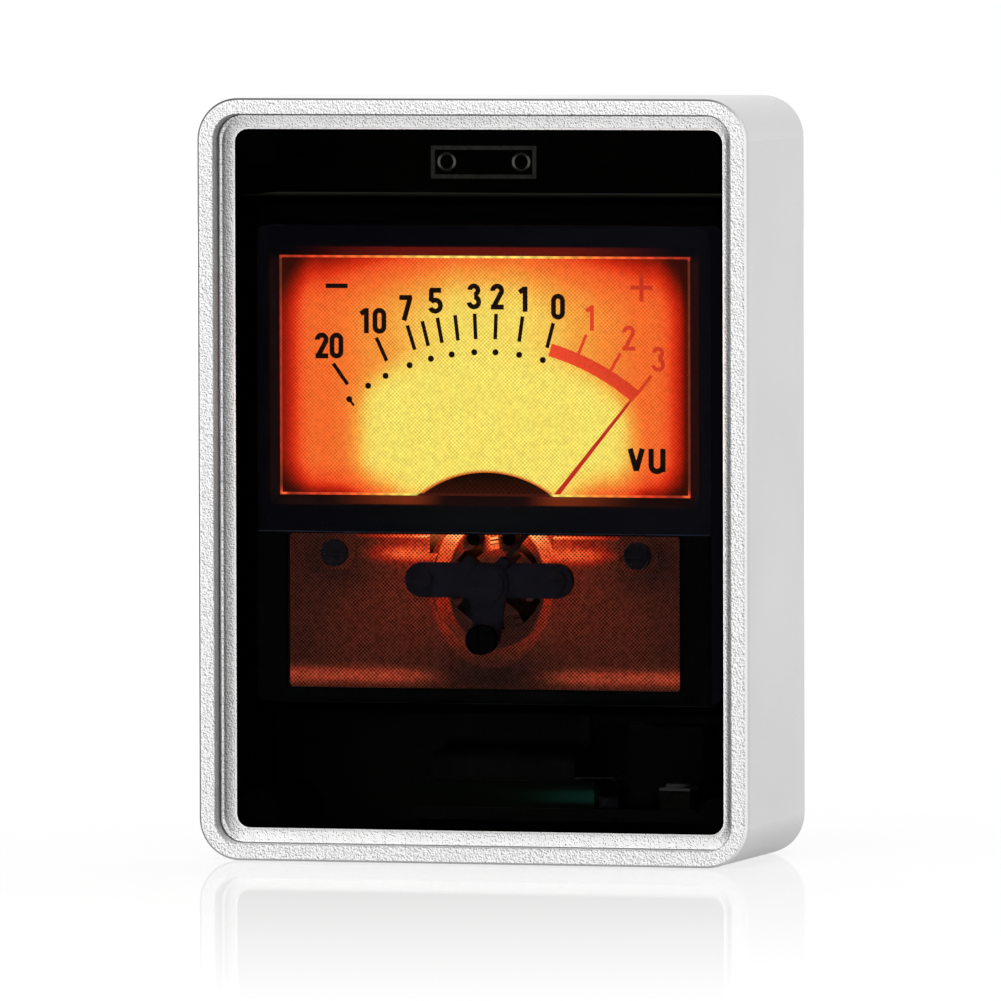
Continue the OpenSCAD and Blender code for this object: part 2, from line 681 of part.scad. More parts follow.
module zero_adjuster() color("Black") difference() {
  union() {
    rod(0, zero_z, ledge_back - 0.9, 0.8, 1.95);
    rod(0, zero_z, ledge_back - 0.5, lens_t + 1, 1.2);
    rod(0, zero_z, lens_in + 0.1, 0.6, 1.9);
    rod(0, zero_z + zero_off, lens_in + 0.4, lever_back - lens_in - 0.3, pin_r);
  }
  at_depth(ledge_back - 1.5) translate([-0.25, zero_z - 2.5, 0]) cube([0.5, 5, 1]);
}

module zero_lever() color("DarkSlateGray") difference() {
  union() {
    rod(0, pivot_z, lever_front, 0.5, 2.9);
    plate(lever_front, 0.5) translate([0, pivot_z])
      polygon([[-2.5, -1.2], [2.5, -1.2], [1.7, -zero_drop - 0.5], [-1.7, -zero_drop - 0.5]]);
  }
  rod(0, pivot_z, lever_front - 1, 3, boss_hub_r + run_gap);
  plate(lever_front - 1, 3) translate([-pin_r - pin_gap, zero_z - 3])
    square([2 * (pin_r + pin_gap), zero_off + 3.6]);
  rod(0, zero_z + zero_off + 0.6, lever_front - 1, 3, pin_r + pin_gap);
}

case_shell();
front_glass();
rear_cover();
cover_screws();
standoffs();
main_board();
driver_chip();
capacitors();
microphone();
io_board();
io_screws();
link_header();
link_ribbon();
inductor();
usb_shell();
usb_tongue();
jack_socket();
pot_body();
pot_shaft();
meter_lens();
meter_base();
meter_mask();
lower_cover();
dial_plate();
dial_screws();
glow_plate();
lamp_board();
lamp_leds();
lamp_leads();
yoke();
core();
core_spacers();
front_bridge();
rear_bridge();
bridge_screws();
movement_screws();
jewel_screws();
hairsprings();
terminal_studs();
terminal_nuts();
pointer();
balance_weight();
coil_former();
coil();
staff();
zero_adjuster();
zero_lever();
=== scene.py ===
import math

import bmesh
import bpy
from mathutils import Matrix, Vector


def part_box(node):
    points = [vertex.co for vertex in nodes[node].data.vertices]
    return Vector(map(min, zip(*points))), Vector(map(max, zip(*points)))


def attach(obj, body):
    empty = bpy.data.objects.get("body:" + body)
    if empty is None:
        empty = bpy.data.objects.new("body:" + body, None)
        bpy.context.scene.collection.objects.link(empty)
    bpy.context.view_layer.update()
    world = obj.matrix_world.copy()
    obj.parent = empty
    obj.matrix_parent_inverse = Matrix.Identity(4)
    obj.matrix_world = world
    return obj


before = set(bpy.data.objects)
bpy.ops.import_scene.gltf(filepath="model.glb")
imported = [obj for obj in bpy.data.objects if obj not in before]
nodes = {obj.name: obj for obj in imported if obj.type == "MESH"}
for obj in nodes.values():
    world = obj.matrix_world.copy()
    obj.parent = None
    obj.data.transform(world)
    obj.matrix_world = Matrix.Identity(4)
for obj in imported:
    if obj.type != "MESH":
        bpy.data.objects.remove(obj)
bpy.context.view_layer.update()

mm = 0.001
caseLow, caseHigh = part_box("case_shell")
coreLow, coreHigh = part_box("core")
pivot = (coreLow + coreHigh) / 2  # the needle turns about this line, along y
print("frame loaded,", len(nodes), "nodes")


# Small helpers for node trees

def tone(red, green, blue):
    # a screen colour from 0 to 255, as the linear colour that the shader wants
    linear = []
    for part in (red, green, blue):
        share = part / 255
        linear.append(share / 12.92 if share <= 0.04045 else ((share + 0.055) / 1.055) ** 2.4)
    return (*linear, 1)


def addNode(tree, kind, **settings):
    node = tree.nodes.new(kind)
    for key, value in settings.items():
        setattr(node, key, value)
    return node


def feed(tree, socket, value):
    if isinstance(value, bpy.types.NodeSocket):
        tree.links.new(value, socket)
    else:
        socket.default_value = value


def calc(tree, operation, *values):
    node = addNode(tree, "ShaderNodeMath", operation=operation)
    for socket, value in zip(node.inputs, values):
        feed(tree, socket, value)
    return node.outputs[0]


def times(tree, first, second):
    return calc(tree, "MULTIPLY", first, second)


def plus(tree, first, second):
    return calc(tree, "ADD", first, second)


def minus(tree, first, second):
    return calc(tree, "SUBTRACT", first, second)


def oneMinus(tree, value):
    return calc(tree, "SUBTRACT", 1.0, value)


def fade(tree, value, start, end):
    # 0 at start and 1 at end, with soft ends
    node = addNode(tree, "ShaderNodeMapRange", interpolation_type="SMOOTHSTEP")
    feed(tree, node.inputs["Value"], value)
    node.inputs["From Min"].default_value = start
    node.inputs["From Max"].default_value = end
    return node.outputs["Result"]


def ramp(tree, value, start, end):
    # 0 at start and 1 at end, in a straight line
    node = addNode(tree, "ShaderNodeMapRange")
    feed(tree, node.inputs["Value"], value)
    node.inputs["From Min"].default_value = start
    node.inputs["From Max"].default_value = end
    return node.outputs["Result"]


def bump(tree, shader, height, depth, strength=1.0):
    node = addNode(tree, "ShaderNodeBump")
    node.inputs["Strength"].default_value = strength
    node.inputs["Distance"].default_value = depth
    feed(tree, node.inputs["Height"], height)
    tree.links.new(node.outputs["Normal"], shader.inputs["Normal"])


def blendColours(tree, factor, first, second, kind="MIX"):
    node = addNode(tree, "ShaderNodeMix", data_type="RGBA", blend_type=kind)
    feed(tree, node.inputs[0], factor)
    feed(tree, node.inputs[6], first)
    feed(tree, node.inputs[7], second)
    return node.outputs[2]


def shaded(tree, colour, shade):
    return blendColours(tree, 1.0, colour, shade, "MULTIPLY")


def colourSteps(tree, value, steps):
    node = addNode(tree, "ShaderNodeValToRGB")
    elements = node.color_ramp.elements
    while len(elements) < len(steps):
        elements.new(1)
    for element, (position, colour) in zip(elements, steps):
        element.position = position
        element.color = colour
    feed(tree, node.inputs["Fac"], value)
    return node.outputs["Color"]


def axes(tree, place):
    node = addNode(tree, "ShaderNodeSeparateXYZ")
    tree.links.new(place, node.inputs[0])
    return node.outputs


def squareSum(tree, first, second):
    return plus(tree, times(tree, first, first), times(tree, second, second))


def hill(tree, x, z, centreX, centreZ, wide, high):
    # a soft round spot, 1 in its middle
    across = calc(tree, "DIVIDE", minus(tree, x, centreX), wide)
    up = calc(tree, "DIVIDE", minus(tree, z, centreZ), high)
    return calc(tree, "EXPONENT", times(tree, squareSum(tree, across, up), -1.0))


def ridge(tree, z, centreZ, high):
    # a soft level line, 1 in its middle
    up = calc(tree, "DIVIDE", minus(tree, z, centreZ), high)
    return calc(tree, "EXPONENT", times(tree, times(tree, up, up), -1.0))


def addSpot(tree, total, x, z, spot, level):
    # adds a hill of light; the spot has its middle, over the level, its half sizes and its strength
    across, up, wide, high, strength = spot
    return plus(tree, total, times(tree, hill(tree, x, z, across, level + up, wide, high), strength))


def radiusAbout(tree, x, z, centreX, centreZ):
    return calc(tree, "SQRT", squareSum(tree, minus(tree, x, centreX), minus(tree, z, centreZ)))


def mixValue(tree, factor, first, second):
    node = addNode(tree, "ShaderNodeMix", data_type="FLOAT")
    feed(tree, node.inputs[0], factor)
    feed(tree, node.inputs[2], first)
    feed(tree, node.inputs[3], second)
    return node.outputs[0]


def between(tree, value, low, high, soft):
    # 1 from low to high, with soft ends just outside
    return times(tree, fade(tree, value, low - soft, low), fade(tree, value, high + soft, high))


def roundedDistance(tree, x, z, halfWide, halfTall, middleZ, corner):
    # how far a point lies outside a rounded rectangle, negative inside it
    across = minus(tree, calc(tree, "ABSOLUTE", x), halfWide - corner)
    up = minus(tree, calc(tree, "ABSOLUTE", minus(tree, z, middleZ)), halfTall - corner)
    beyond = squareSum(tree, calc(tree, "MAXIMUM", across, 0.0), calc(tree, "MAXIMUM", up, 0.0))
    inside = calc(tree, "MINIMUM", calc(tree, "MAXIMUM", across, up), 0.0)
    return minus(tree, plus(tree, calc(tree, "SQRT", beyond), inside), corner)


def facingShares(tree, x, z, halfWide, halfTall, middleZ, corner):
    # how far a spot on a rounded frame lies to each of its four sides: shares that add up to 1
    across = minus(tree, calc(tree, "ABSOLUTE", x), halfWide - corner)
    lifted = minus(tree, z, middleZ)
    up = minus(tree, calc(tree, "ABSOLUTE", lifted), halfTall - corner)
    squareX = calc(tree, "POWER", calc(tree, "MAXIMUM", across, 0.0), 2.0)
    squareZ = calc(tree, "POWER", calc(tree, "MAXIMUM", up, 0.0), 2.0)
    shareX = calc(tree, "DIVIDE", squareX, plus(tree, plus(tree, squareX, squareZ), 1e-12))
    shareZ = oneMinus(tree, shareX)
    onLeft = calc(tree, "LESS_THAN", x, 0.0)
    onTop = calc(tree, "GREATER_THAN", lifted, 0.0)
    return {
        "left": times(tree, shareX, onLeft),
        "right": times(tree, shareX, oneMinus(tree, onLeft)),
        "top": times(tree, shareZ, onTop),
        "bottom": times(tree, shareZ, oneMinus(tree, onTop)),
    }


def weighted(tree, shares, values):
    # the mean of one value per side, by the shares of the sides
    total = 0.0
    for side, value in values.items():
        total = plus(tree, times(tree, shares[side], value), total)
    return total


# Shared effects as node groups

def startGroup(name, inputs, outputs):
    group = bpy.data.node_groups.new(name, "ShaderNodeTree")
    for title, kind in inputs:
        group.interface.new_socket(title, in_out="INPUT", socket_type=kind)
    for title, kind in outputs:
        group.interface.new_socket(title, in_out="OUTPUT", socket_type=kind)
    enter = group.nodes.new("NodeGroupInput")
    leave = group.nodes.new("NodeGroupOutput")
    return group, enter.outputs, leave.inputs


def makeSurfaceGrain():
    # fine speckle: Shade runs about 1, Height is for a bump
    group, enter, leave = startGroup(
        "surfaceGrain",
        [("Place", "NodeSocketVector"), ("Scale", "NodeSocketFloat"), ("Contrast", "NodeSocketFloat")],
        [("Shade", "NodeSocketFloat"), ("Height", "NodeSocketFloat")])
    speckle = addNode(group, "ShaderNodeTexNoise")
    speckle.inputs["Detail"].default_value = 2.0
    speckle.inputs["Roughness"].default_value = 0.6
    group.links.new(enter["Place"], speckle.inputs["Vector"])
    group.links.new(enter["Scale"], speckle.inputs["Scale"])
    centred = minus(group, speckle.outputs["Fac"], 0.5)
    swing = times(group, times(group, centred, 4.0), enter["Contrast"])
    group.links.new(plus(group, swing, 1.0), leave["Shade"])
    group.links.new(speckle.outputs["Fac"], leave["Height"])
    return group


def makeDimpleGrainShade():
    # bead-blasted grain with painted shade: each dimple gets a painted lit flank and a painted dark
    # flank
    group, enter, leave = startGroup(
        "dimpleGrainShade",
        [("Place", "NodeSocketVector"), ("Scale", "NodeSocketFloat"), ("Contrast", "NodeSocketFloat")],
        [("Shade", "NodeSocketFloat"), ("Height", "NodeSocketFloat")])
    heights = []
    for step in ((0, 0, 0), (0.07 * mm, 0.03 * mm, 0.06 * mm)):
        moved = addNode(group, "ShaderNodeVectorMath", operation="ADD")
        group.links.new(enter["Place"], moved.inputs[0])
        moved.inputs[1].default_value = step
        dimples = addNode(group, "ShaderNodeTexNoise")
        dimples.inputs["Detail"].default_value = 1.5
        group.links.new(moved.outputs[0], dimples.inputs["Vector"])
        group.links.new(enter["Scale"], dimples.inputs["Scale"])
        heights.append(dimples.outputs["Fac"])
    flank = times(group, minus(group, heights[0], heights[1]), 4.0)
    group.links.new(plus(group, times(group, flank, enter["Contrast"]), 1.0), leave["Shade"])
    group.links.new(heights[0], leave["Height"])
    return group


def makePaperWeave():
    # fine diagonal lattice of printed, lit paper, with some speckle
    group, enter, leave = startGroup(
        "paperWeave",
        [("Place", "NodeSocketVector"), ("Pitch", "NodeSocketFloat"), ("Contrast", "NodeSocketFloat")],
        [("Shade", "NodeSocketFloat")])
    x, y, z = axes(group, enter["Place"])
    # Pitch runs along the diagonals
    turn = calc(group, "DIVIDE", math.sqrt(2) * math.pi, enter["Pitch"])
    one = calc(group, "SINE", times(group, plus(group, x, z), turn))
    other = calc(group, "SINE", times(group, minus(group, x, z), turn))
    speckle = addNode(group, "ShaderNodeTexNoise")
    speckle.inputs["Scale"].default_value = 2100.0
    speckle.inputs["Detail"].default_value = 1.0
    group.links.new(enter["Place"], speckle.inputs["Vector"])
    loose = times(group, minus(group, speckle.outputs["Fac"], 0.5), 3.0)
    total = plus(group, plus(group, one, other), loose)
    shade = plus(group, times(group, total, enter["Contrast"]), 1.0)
    group.links.new(calc(group, "MAXIMUM", shade, 0.05), leave["Shade"])
    return group


def makeHandlingMarks():
    # slow patches of more and less gloss, from wiping and touching
    group, enter, leave = startGroup(
        "handlingMarks",
        [("Place", "NodeSocketVector"), ("Scale", "NodeSocketFloat"),
         ("Low", "NodeSocketFloat"), ("High", "NodeSocketFloat")],
        [("Roughness", "NodeSocketFloat")])
    patches = addNode(group, "ShaderNodeTexNoise")
    patches.inputs["Detail"].default_value = 3.0
    group.links.new(enter["Place"], patches.inputs["Vector"])
    group.links.new(enter["Scale"], patches.inputs["Scale"])
    spread = addNode(group, "ShaderNodeMapRange")
    spread.inputs["From Min"].default_value = 0.3
    spread.inputs["From Max"].default_value = 0.7
    group.links.new(patches.outputs["Fac"], spread.inputs["Value"])
    group.links.new(enter["Low"], spread.inputs["To Min"])
    group.links.new(enter["High"], spread.inputs["To Max"])
    group.links.new(spread.outputs["Result"], leave["Roughness"])
    return group


dialLight = {
    "hotReach": (33.5 * mm, 28.0 * mm),  # the hot field ends softly about the row of dots
    "hotLeft": (-20.0 * mm, -14.0 * mm),
    "hotRight": (22.5 * mm, 16.5 * mm),
    "middle": 0.92,
    "slope": (4 * mm, 22 * mm, 0.37),
    "leftSide": (23.2 * mm, 29.0 * mm, 0.38),
    "rightSide": (22.5 * mm, 28.6 * mm, 0.38),
    "rightEdge": (26.2 * mm, 27.4 * mm, 0.1),
    "top": (70.5 * mm, 79.3 * mm, 0.39),
    "crown": (-0.5 * mm, 69.0 * mm, 9.0 * mm, 5.0 * mm, 0.55),  # the lamps reach up between the numbers
    "lowSides": (53.0 * mm, 47.5 * mm, 0.38),
    "lowSidesReach": (9 * mm, 17 * mm),
    "lowEdge": (49.8 * mm, 47.6 * mm, 0.14),
    "lowCorner": (28.6 * mm, 48.6 * mm, 3.6 * mm, 3.0 * mm, -0.09),
    "least": (0.07, 0.1),  # the darkest level, and how softly it is reached
}


def makeLampHeat():
    # how strongly the lamps behind the dial show through it, from 0 to 1
    group, enter, leave = startGroup(
        "lampHeat", [("Place", "NodeSocketVector")], [("Heat", "NodeSocketFloat")])
    s = dialLight
    x, y, z = axes(group, enter["Place"])
    wide = calc(group, "ABSOLUTE", x)
    reach = radiusAbout(group, x, z, pivot.x, pivot.z)
    start, end, loss = s["slope"]
    heat = minus(group, s["middle"], times(group, ramp(group, wide, start, end), loss))
    leftwards = times(group, x, -1.0)
    for across, title in ((leftwards, "leftSide"), (x, "rightSide"), (x, "rightEdge")):
        start, end, loss = s[title]
        heat = minus(group, heat, times(group, fade(group, across, start, end), loss))
    start, end, loss = s["top"]
    top = calc(group, "POWER", ramp(group, z, start, end), 2.0)
    heat = minus(group, heat, times(group, top, loss))
    hot = times(group, fade(group, x, *s["hotLeft"]), fade(group, x, *s["hotRight"]))
    hot = times(group, hot, fade(group, reach, *s["hotReach"]))
    heat = plus(group, heat, times(group, oneMinus(group, heat), hot))
    start, end, loss = s["lowSides"]
    low = times(group, fade(group, z, start, end), fade(group, wide, *s["lowSidesReach"]))
    heat = times(group, heat, oneMinus(group, times(group, low, loss)))
    crown = addSpot(group, 0.0, x, z, s["crown"], 0.0)
    heat = plus(group, heat, times(group, oneMinus(group, heat), crown))
    start, end, loss = s["lowEdge"]
    heat = minus(group, heat, times(group, fade(group, z, start, end), loss))
    heat = addSpot(group, heat, wide, z, s["lowCorner"], 0.0)
    group.links.new(calc(group, "SMOOTH_MAX", heat, *s["least"]), leave["Heat"])
    return group


surfaceGrain = makeSurfaceGrain()
dimpleGrainShade = makeDimpleGrainShade()
paperWeave = makePaperWeave()
handlingMarks = makeHandlingMarks()
lampHeat = makeLampHeat()


def useGroup(tree, group, place, **values):
    node = addNode(tree, "ShaderNodeGroup", node_tree=group)
    tree.links.new(place, node.inputs["Place"])
    for title, value in values.items():
        node.inputs[title].default_value = value
    return node.outputs


def startMaterial(name, **values):
    material = bpy.data.materials.new(name)
    material.use_nodes = True
    tree = material.node_tree
    shader = tree.nodes["Principled BSDF"]
    for title, value in values.items():
        shader.inputs[title].default_value = value
    place = addNode(tree, "ShaderNodeTexCoord").outputs["Object"]
    return material, tree, shader, place


def grainyMaterial(name, colour, scale=1500.0, contrast=0.06, rough=(0.4, 0.55), depth=0.01 * mm,
                   metallic=0.0, specular=0.5):
    # base for plastics and metals: speckled colour, patchy gloss and a fine bump
    material, tree, shader, place = startMaterial(
        name, **{"Metallic": metallic, "Specular IOR Level": specular})
    grain = useGroup(tree, surfaceGrain, place, Scale=scale, Contrast=contrast)
    marks = useGroup(tree, handlingMarks, place, Scale=90.0, Low=rough[0], High=rough[1])
    tint = shaded(tree, colour, grain["Shade"])
    tree.links.new(tint, shader.inputs["Base Color"])
    tree.links.new(marks["Roughness"], shader.inputs["Roughness"])
    if depth:
        bump(tree, shader, grain["Height"], depth)
    return material, tree, shader, place, tint


# Case finishes

# left, right, top and bottom give a value for each side of the frame round the window
caseFinish = {
    "corner": 5.5 * mm,
    "rimWide": 2.2 * mm,
    "ledgeWide": 1.9 * mm,
    "windowCorner": 1.8 * mm,
    "glassBed": 0.05 * mm,  # between the glass and the ledge
    "innerFrom": (-1.5 * mm, -1.8 * mm),  # from the outer edge
    # painted shade: black for the deep inside of the case
    "inside": tone(3, 3, 3),
    # painted light and shade: grey levels and glows of the one aluminium, for how the lamps light each
    # part
    "side": 0.66,
    "topBright": 0.84,
    "topReach": (27 * mm, -4 * mm),
    # painted shade on the side face, behind its front edge
    "behindEdge": (0.5 * mm, 1.4 * mm, 0.2 * mm),  # a darker line on the right, behind the front edge
    "behindEdgeLight": 0.92,
    "turnedDown": 0.62,
    "turnedPower": 0.45,
    "rim": 0.80,
    "rimLine": (-0.5 * mm, -0.3 * mm, 0.08 * mm),  # inside the outer edge
    "upperLightLine": 1.14,
    "rightShadeLine": 0.84,
    "seam": {"left": 0.5, "right": 0.4, "top": 0.1, "bottom": 0.7},
    "seamWide": (0.1 * mm, 0.12 * mm, 0.04 * mm),
    "edge": {"left": 0.27, "right": 1.2, "top": 0.16, "bottom": 0.66},
    "frontEdge": (0.04 * mm, 0.28 * mm, 0.02 * mm),
    "backEdge": (0.34 * mm, 0.28 * mm, 0.4),
    "stepFront": {"left": 0.78, "right": 0.4, "top": 0.4, "bottom": 1.0},
    "stepDeep": {"left": 0.52, "right": 0.3, "top": 0.3, "bottom": 1.0},
    "stepReach": 2.0 * mm,
    "ledgeNear": 0.9,  # beside the window
    "ledgeFar": {"left": 0.47, "right": 0.24, "top": 0.87, "bottom": 0.7},  # in the shade of the rim
    "ledgeReach": {"left": 1.4 * mm, "right": 0.75 * mm, "top": 1.6 * mm, "bottom": 1.6 * mm},
    "leftShare": (0.3, 0.95),
    "ledgeShadow": 0.36,
    "shadowLine": (1.36 * mm, 1.54 * mm, 0.12 * mm),  # from the window, on the left
    "glintLine": (1.68 * mm, 2.0 * mm, 0.06 * mm),
    "glintGlow": 0.3,
    "ledgeGlow": {"left": 0.0, "right": 0.0, "top": 0.09, "bottom": 0.11},  # from the edge of the glass
    "farGlow": {"left": 0.0, "right": 0.0, "top": 0.0, "bottom": 0.42},
    "farPower": 1.6,
    "nearGlow": {"left": 0.18, "right": 0.5, "top": 0.15, "bottom": 0.08},
    "nearReach": (0.7 * mm, 0.05 * mm),
    "edgeGlow": {"left": 0.3, "right": 0.4, "top": 0.4, "bottom": 0.15},
    "edgeReach": (0.3 * mm, 0.12 * mm),
    "marksScale": 45.0,
    "grainScale": 4300.0,
    "sideScale": 1.2,  # how much finer the grain of the sides is
    "rimContrast": 0.75,
    "sideContrast": 0.09,
    "rough": (0.44, 0.52),
    "insideRough": 0.9,
    "dimples": (0.02 * mm, 0.5),
}


def lightOnSide(tree, x, y, z, outerShares, frontEdge):
    # painted light and shade on the outside, apart from the rim: its grey level, lighter on the top face
    s = caseFinish
    topFace = times(tree, fade(tree, z, caseHigh.z - 0.05 * mm, caseHigh.z - 0.02 * mm),
                    fade(tree, x, *s["topReach"]))
    light = mixValue(tree, topFace, s["side"], s["topBright"])
    near, far, soft = s["behindEdge"]
    behindEdge = between(tree, y, caseLow.y + near, caseLow.y + far, soft)
    behindEdge = times(tree, behindEdge, outerShares["right"])
    light = mixValue(tree, behindEdge, light, s["side"] * s["behindEdgeLight"])
    # the lower corners turn down, away from the lamps; the floor's reflection of them stays pale
    turned = calc(tree, "POWER", outerShares["bottom"], s["turnedPower"])
    turned = times(tree, turned, oneMinus(tree, frontEdge))
    seen = addNode(tree, "ShaderNodeLightPath").outputs["Is Camera Ray"]
    return mixValue(tree, times(tree, turned, seen), light, s["side"] * s["turnedDown"])


def lightOnRim(tree, shares, outerShares, fromOuter):
    # painted light on the rim; its cut inner edge gets a painted reflection of the dark room
    s = caseFinish
    inward, outward, soft = s["seamWide"]
    seam = between(tree, fromOuter, -s["rimWide"] - inward, -s["rimWide"] + outward, soft)
    light = mixValue(tree, seam, s["rim"], times(tree, weighted(tree, shares, s["seam"]), s["rim"]))
    line = between(tree, fromOuter, *s["rimLine"])
    upperLightLine = times(tree, line, plus(tree, outerShares["top"], outerShares["left"]))
    light = mixValue(tree, upperLightLine, light, s["rim"] * s["upperLightLine"])
    rightShadeLine = times(tree, line, outerShares["right"])
    return mixValue(tree, rightShadeLine, light, s["rim"] * s["rightShadeLine"])


def lightOnLedge(tree, shares, fromWindow):
    # grey level of the ledge, and the light that falls on it from the glass
    s = caseFinish
    away = calc(tree, "DIVIDE", fromWindow, weighted(tree, shares, s["ledgeReach"]))
    away = calc(tree, "MINIMUM", calc(tree, "MAXIMUM", away, 0.0), 1.0)
    light = mixValue(tree, away, s["ledgeNear"], weighted(tree, shares, s["ledgeFar"]))
    # on the left the step throws its shadow, with a line of light beside it
    left = fade(tree, shares["left"], *s["leftShare"])
    shadow = times(tree, left, between(tree, fromWindow, *s["shadowLine"]))
    light = mixValue(tree, shadow, light, s["ledgeShadow"])
    glint = times(tree, left, between(tree, fromWindow, *s["glintLine"]))
    light = mixValue(tree, glint, light, s["ledgeNear"])
    # the polished edges of the glass throw light on the ledge, most of all beside the window
    thrown = weighted(tree, shares, s["ledgeGlow"])
    for mask, values in ((calc(tree, "POWER", away, s["farPower"]), s["farGlow"]),
                         (fade(tree, fromWindow, *s["nearReach"]), s["nearGlow"]),
                         (fade(tree, fromWindow, *s["edgeReach"]), s["edgeGlow"])):
        thrown = plus(tree, thrown, times(tree, mask, weighted(tree, shares, values)))
    return light, plus(tree, thrown, times(tree, glint, s["glintGlow"]))


def makeCaseAluminium():
    # bead-blasted outside; painted light and shade give its grey on side, rim, step and ledge, and black
    # within
    s = caseFinish
    material, tree, shader, place = startMaterial(
        "caseAluminium", **{"Specular IOR Level": 0.03, "Emission Strength": 1.0})
    x, y, z = axes(tree, place)
    front = caseLow.y
    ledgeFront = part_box("front_glass")[1].y + s["glassBed"]
    middleZ = (caseLow.z + caseHigh.z) / 2
    tall = caseHigh.z - middleZ
    away = s["rimWide"] + s["ledgeWide"]
    outer = (x, z, caseHigh.x, tall, middleZ, s["corner"])
    window = (x, z, caseHigh.x - away, tall - away, middleZ, s["windowCorner"])
    fromOuter = roundedDistance(tree, *outer)
    fromWindow = roundedDistance(tree, *window)
    shares = facingShares(tree, *window)
    outerShares = facingShares(tree, *outer)
    inner = fade(tree, fromOuter, *s["innerFrom"])
    rim = fade(tree, y, front + 0.03 * mm, front + 0.01 * mm)
    step = times(tree, inner, between(tree, y, front + 0.03 * mm, ledgeFront - 0.04 * mm, 0.01 * mm))
    ledge = between(tree, y, ledgeFront - 0.02 * mm, ledgeFront + 0.3 * mm, 0.02 * mm)
    ledge = times(tree, inner, ledge)
    # painted shade: black deep inside the case, behind the ledge
    black = times(tree, inner, fade(tree, y, ledgeFront + 0.32 * mm, ledgeFront + 0.36 * mm))
    near, far, soft = s["frontEdge"]
    frontEdge = between(tree, y, front + near, front + far, soft)
    frontEdge = times(tree, frontEdge, oneMinus(tree, inner))
    far, near, strength = s["backEdge"]
    backEdge = times(tree, fade(tree, y, caseHigh.y - far, caseHigh.y - near), strength)
    # painted shade: the step between rim and ledge gets darker towards the glass
    stepLight = mixValue(tree, fade(tree, y, front, front + s["stepReach"]),
                         weighted(tree, shares, s["stepFront"]), weighted(tree, shares, s["stepDeep"]))
    ledgeLight, thrown = lightOnLedge(tree, shares, fromWindow)
    light = lightOnSide(tree, x, y, z, outerShares, frontEdge)
    light = mixValue(tree, rim, light, lightOnRim(tree, shares, outerShares, fromOuter))
    light = mixValue(tree, step, light, stepLight)
    light = mixValue(tree, ledge, light, ledgeLight)
    # cut edges get a painted reflection of the dark room, and a painted highlight towards the side lamp
    edges = calc(tree, "MAXIMUM", frontEdge, backEdge)
    light = times(tree, light, mixValue(tree, edges, 1.0, weighted(tree, outerShares, s["edge"])))
    coarse = useGroup(tree, dimpleGrainShade, place, Scale=s["grainScale"], Contrast=s["rimContrast"])
    fine = useGroup(tree, surfaceGrain, place, Scale=s["grainScale"] * s["sideScale"],
                    Contrast=s["sideContrast"])
    faceOn = calc(tree, "MAXIMUM", rim, calc(tree, "MAXIMUM", ledge, times(tree, step, 0.5)))
    speckle = mixValue(tree, faceOn, fine["Shade"], coarse["Shade"])
    litSilver = times(tree, light, speckle)
    tree.links.new(blendColours(tree, black, litSilver, s["inside"]), shader.inputs["Base Color"])
    tree.links.new(oneMinus(tree, black), shader.inputs["Metallic"])
    onLedge = times(tree, ledge, oneMinus(tree, black))
    glow = times(tree, times(tree, thrown, onLedge), speckle)
    tree.links.new(glow, shader.inputs["Emission Color"])
    low, high = s["rough"]
    marks = useGroup(tree, handlingMarks, place, Scale=s["marksScale"], Low=low, High=high)
    rough = mixValue(tree, black, marks["Roughness"], s["insideRough"])
    tree.links.new(rough, shader.inputs["Roughness"])
    bump(tree, shader, coarse["Height"], *s["dimples"])
    return material


def clearSheet(name, tint, index):
    # coated clear sheet: hardly any reflection, so the inside stays dark
    material, tree, shader, place = startMaterial(
        name, **{"Transmission Weight": 1.0, "IOR": index, "Roughness": 0.0,
                 "Specular Tint": (0, 0, 0, 1)})
    grain = useGroup(tree, surfaceGrain, place, Scale=40.0, Contrast=0.004)
    tree.links.new(shaded(tree, tint, grain["Shade"]), shader.inputs["Base Color"])
    return material, tree, shader, place


lensShine = {
    "tint": (0.985, 0.987, 0.985, 1),
    "index": 1.1,
    "joint": (1.8 * mm, 1.4 * mm),  # in front of the back edge
    "jointEnd": (33 * mm, 29 * mm),
    "jointGlow": tone(24, 25, 20),
    "edge": (0.3 * mm, 1.6 * mm, 0.3 * mm),  # behind the front edge
    "edgeGlow": tone(19, 20, 16),
}


def makeLens():
    # daylight shows on top of the lens, behind its front edge and where it meets the base
    s = lensShine
    material, tree, shader, place = clearSheet("clearLens", s["tint"], s["index"])
    shader.inputs["Emission Strength"].default_value = 1.0
    low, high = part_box("meter_lens")
    x, y, z = axes(tree, place)
    upper = fade(tree, z, high.z - 0.06 * mm, high.z - 0.02 * mm)
    far, near = s["joint"]
    joint = times(tree, fade(tree, y, high.y - far, high.y - near), fade(tree, x, *s["jointEnd"]))
    near, far, soft = s["edge"]
    edge = between(tree, y, low.y + near, low.y + far, soft)
    glow = blendColours(tree, times(tree, upper, joint), tone(0, 0, 0), s["jointGlow"])
    glow = blendColours(tree, times(tree, upper, edge), glow, s["edgeGlow"])
    tree.links.new(glow, shader.inputs["Emission Color"])
    return material


# Dial and glow

dialGlow = {
    "steps": [(0.0, tone(18, 7, 5)), (0.08, tone(55, 14, 8)), (0.16, tone(100, 19, 8)),
              (0.24, tone(150, 26, 10)), (0.30, tone(186, 34, 13)), (0.37, tone(218, 53, 21)),
              (0.44, tone(237, 82, 35)), (0.60, tone(244, 114, 45)), (0.76, tone(245, 158, 61)),
              (0.90, tone(245, 205, 90)), (1.0, tone(243, 222, 102))],
    "weave": 0.15,
    "weavePitch": 0.362 * mm,
    "cutOut": 14.8 * mm,  # radius of the cut-out about the pivot
    "cutGlow": tone(204, 96, 34),
    "tabs": (11.1 * mm, 10.3 * mm),  # above the pivot, where the mask ends
    "tabReach": (23 * mm, 19 * mm),
    "tabGlow": (tone(44, 21, 16), tone(60, 24, 16)),
    "own": (0.04, 0.04, 0.04, 1),  # share of the glow that is left as the paint's own colour
}


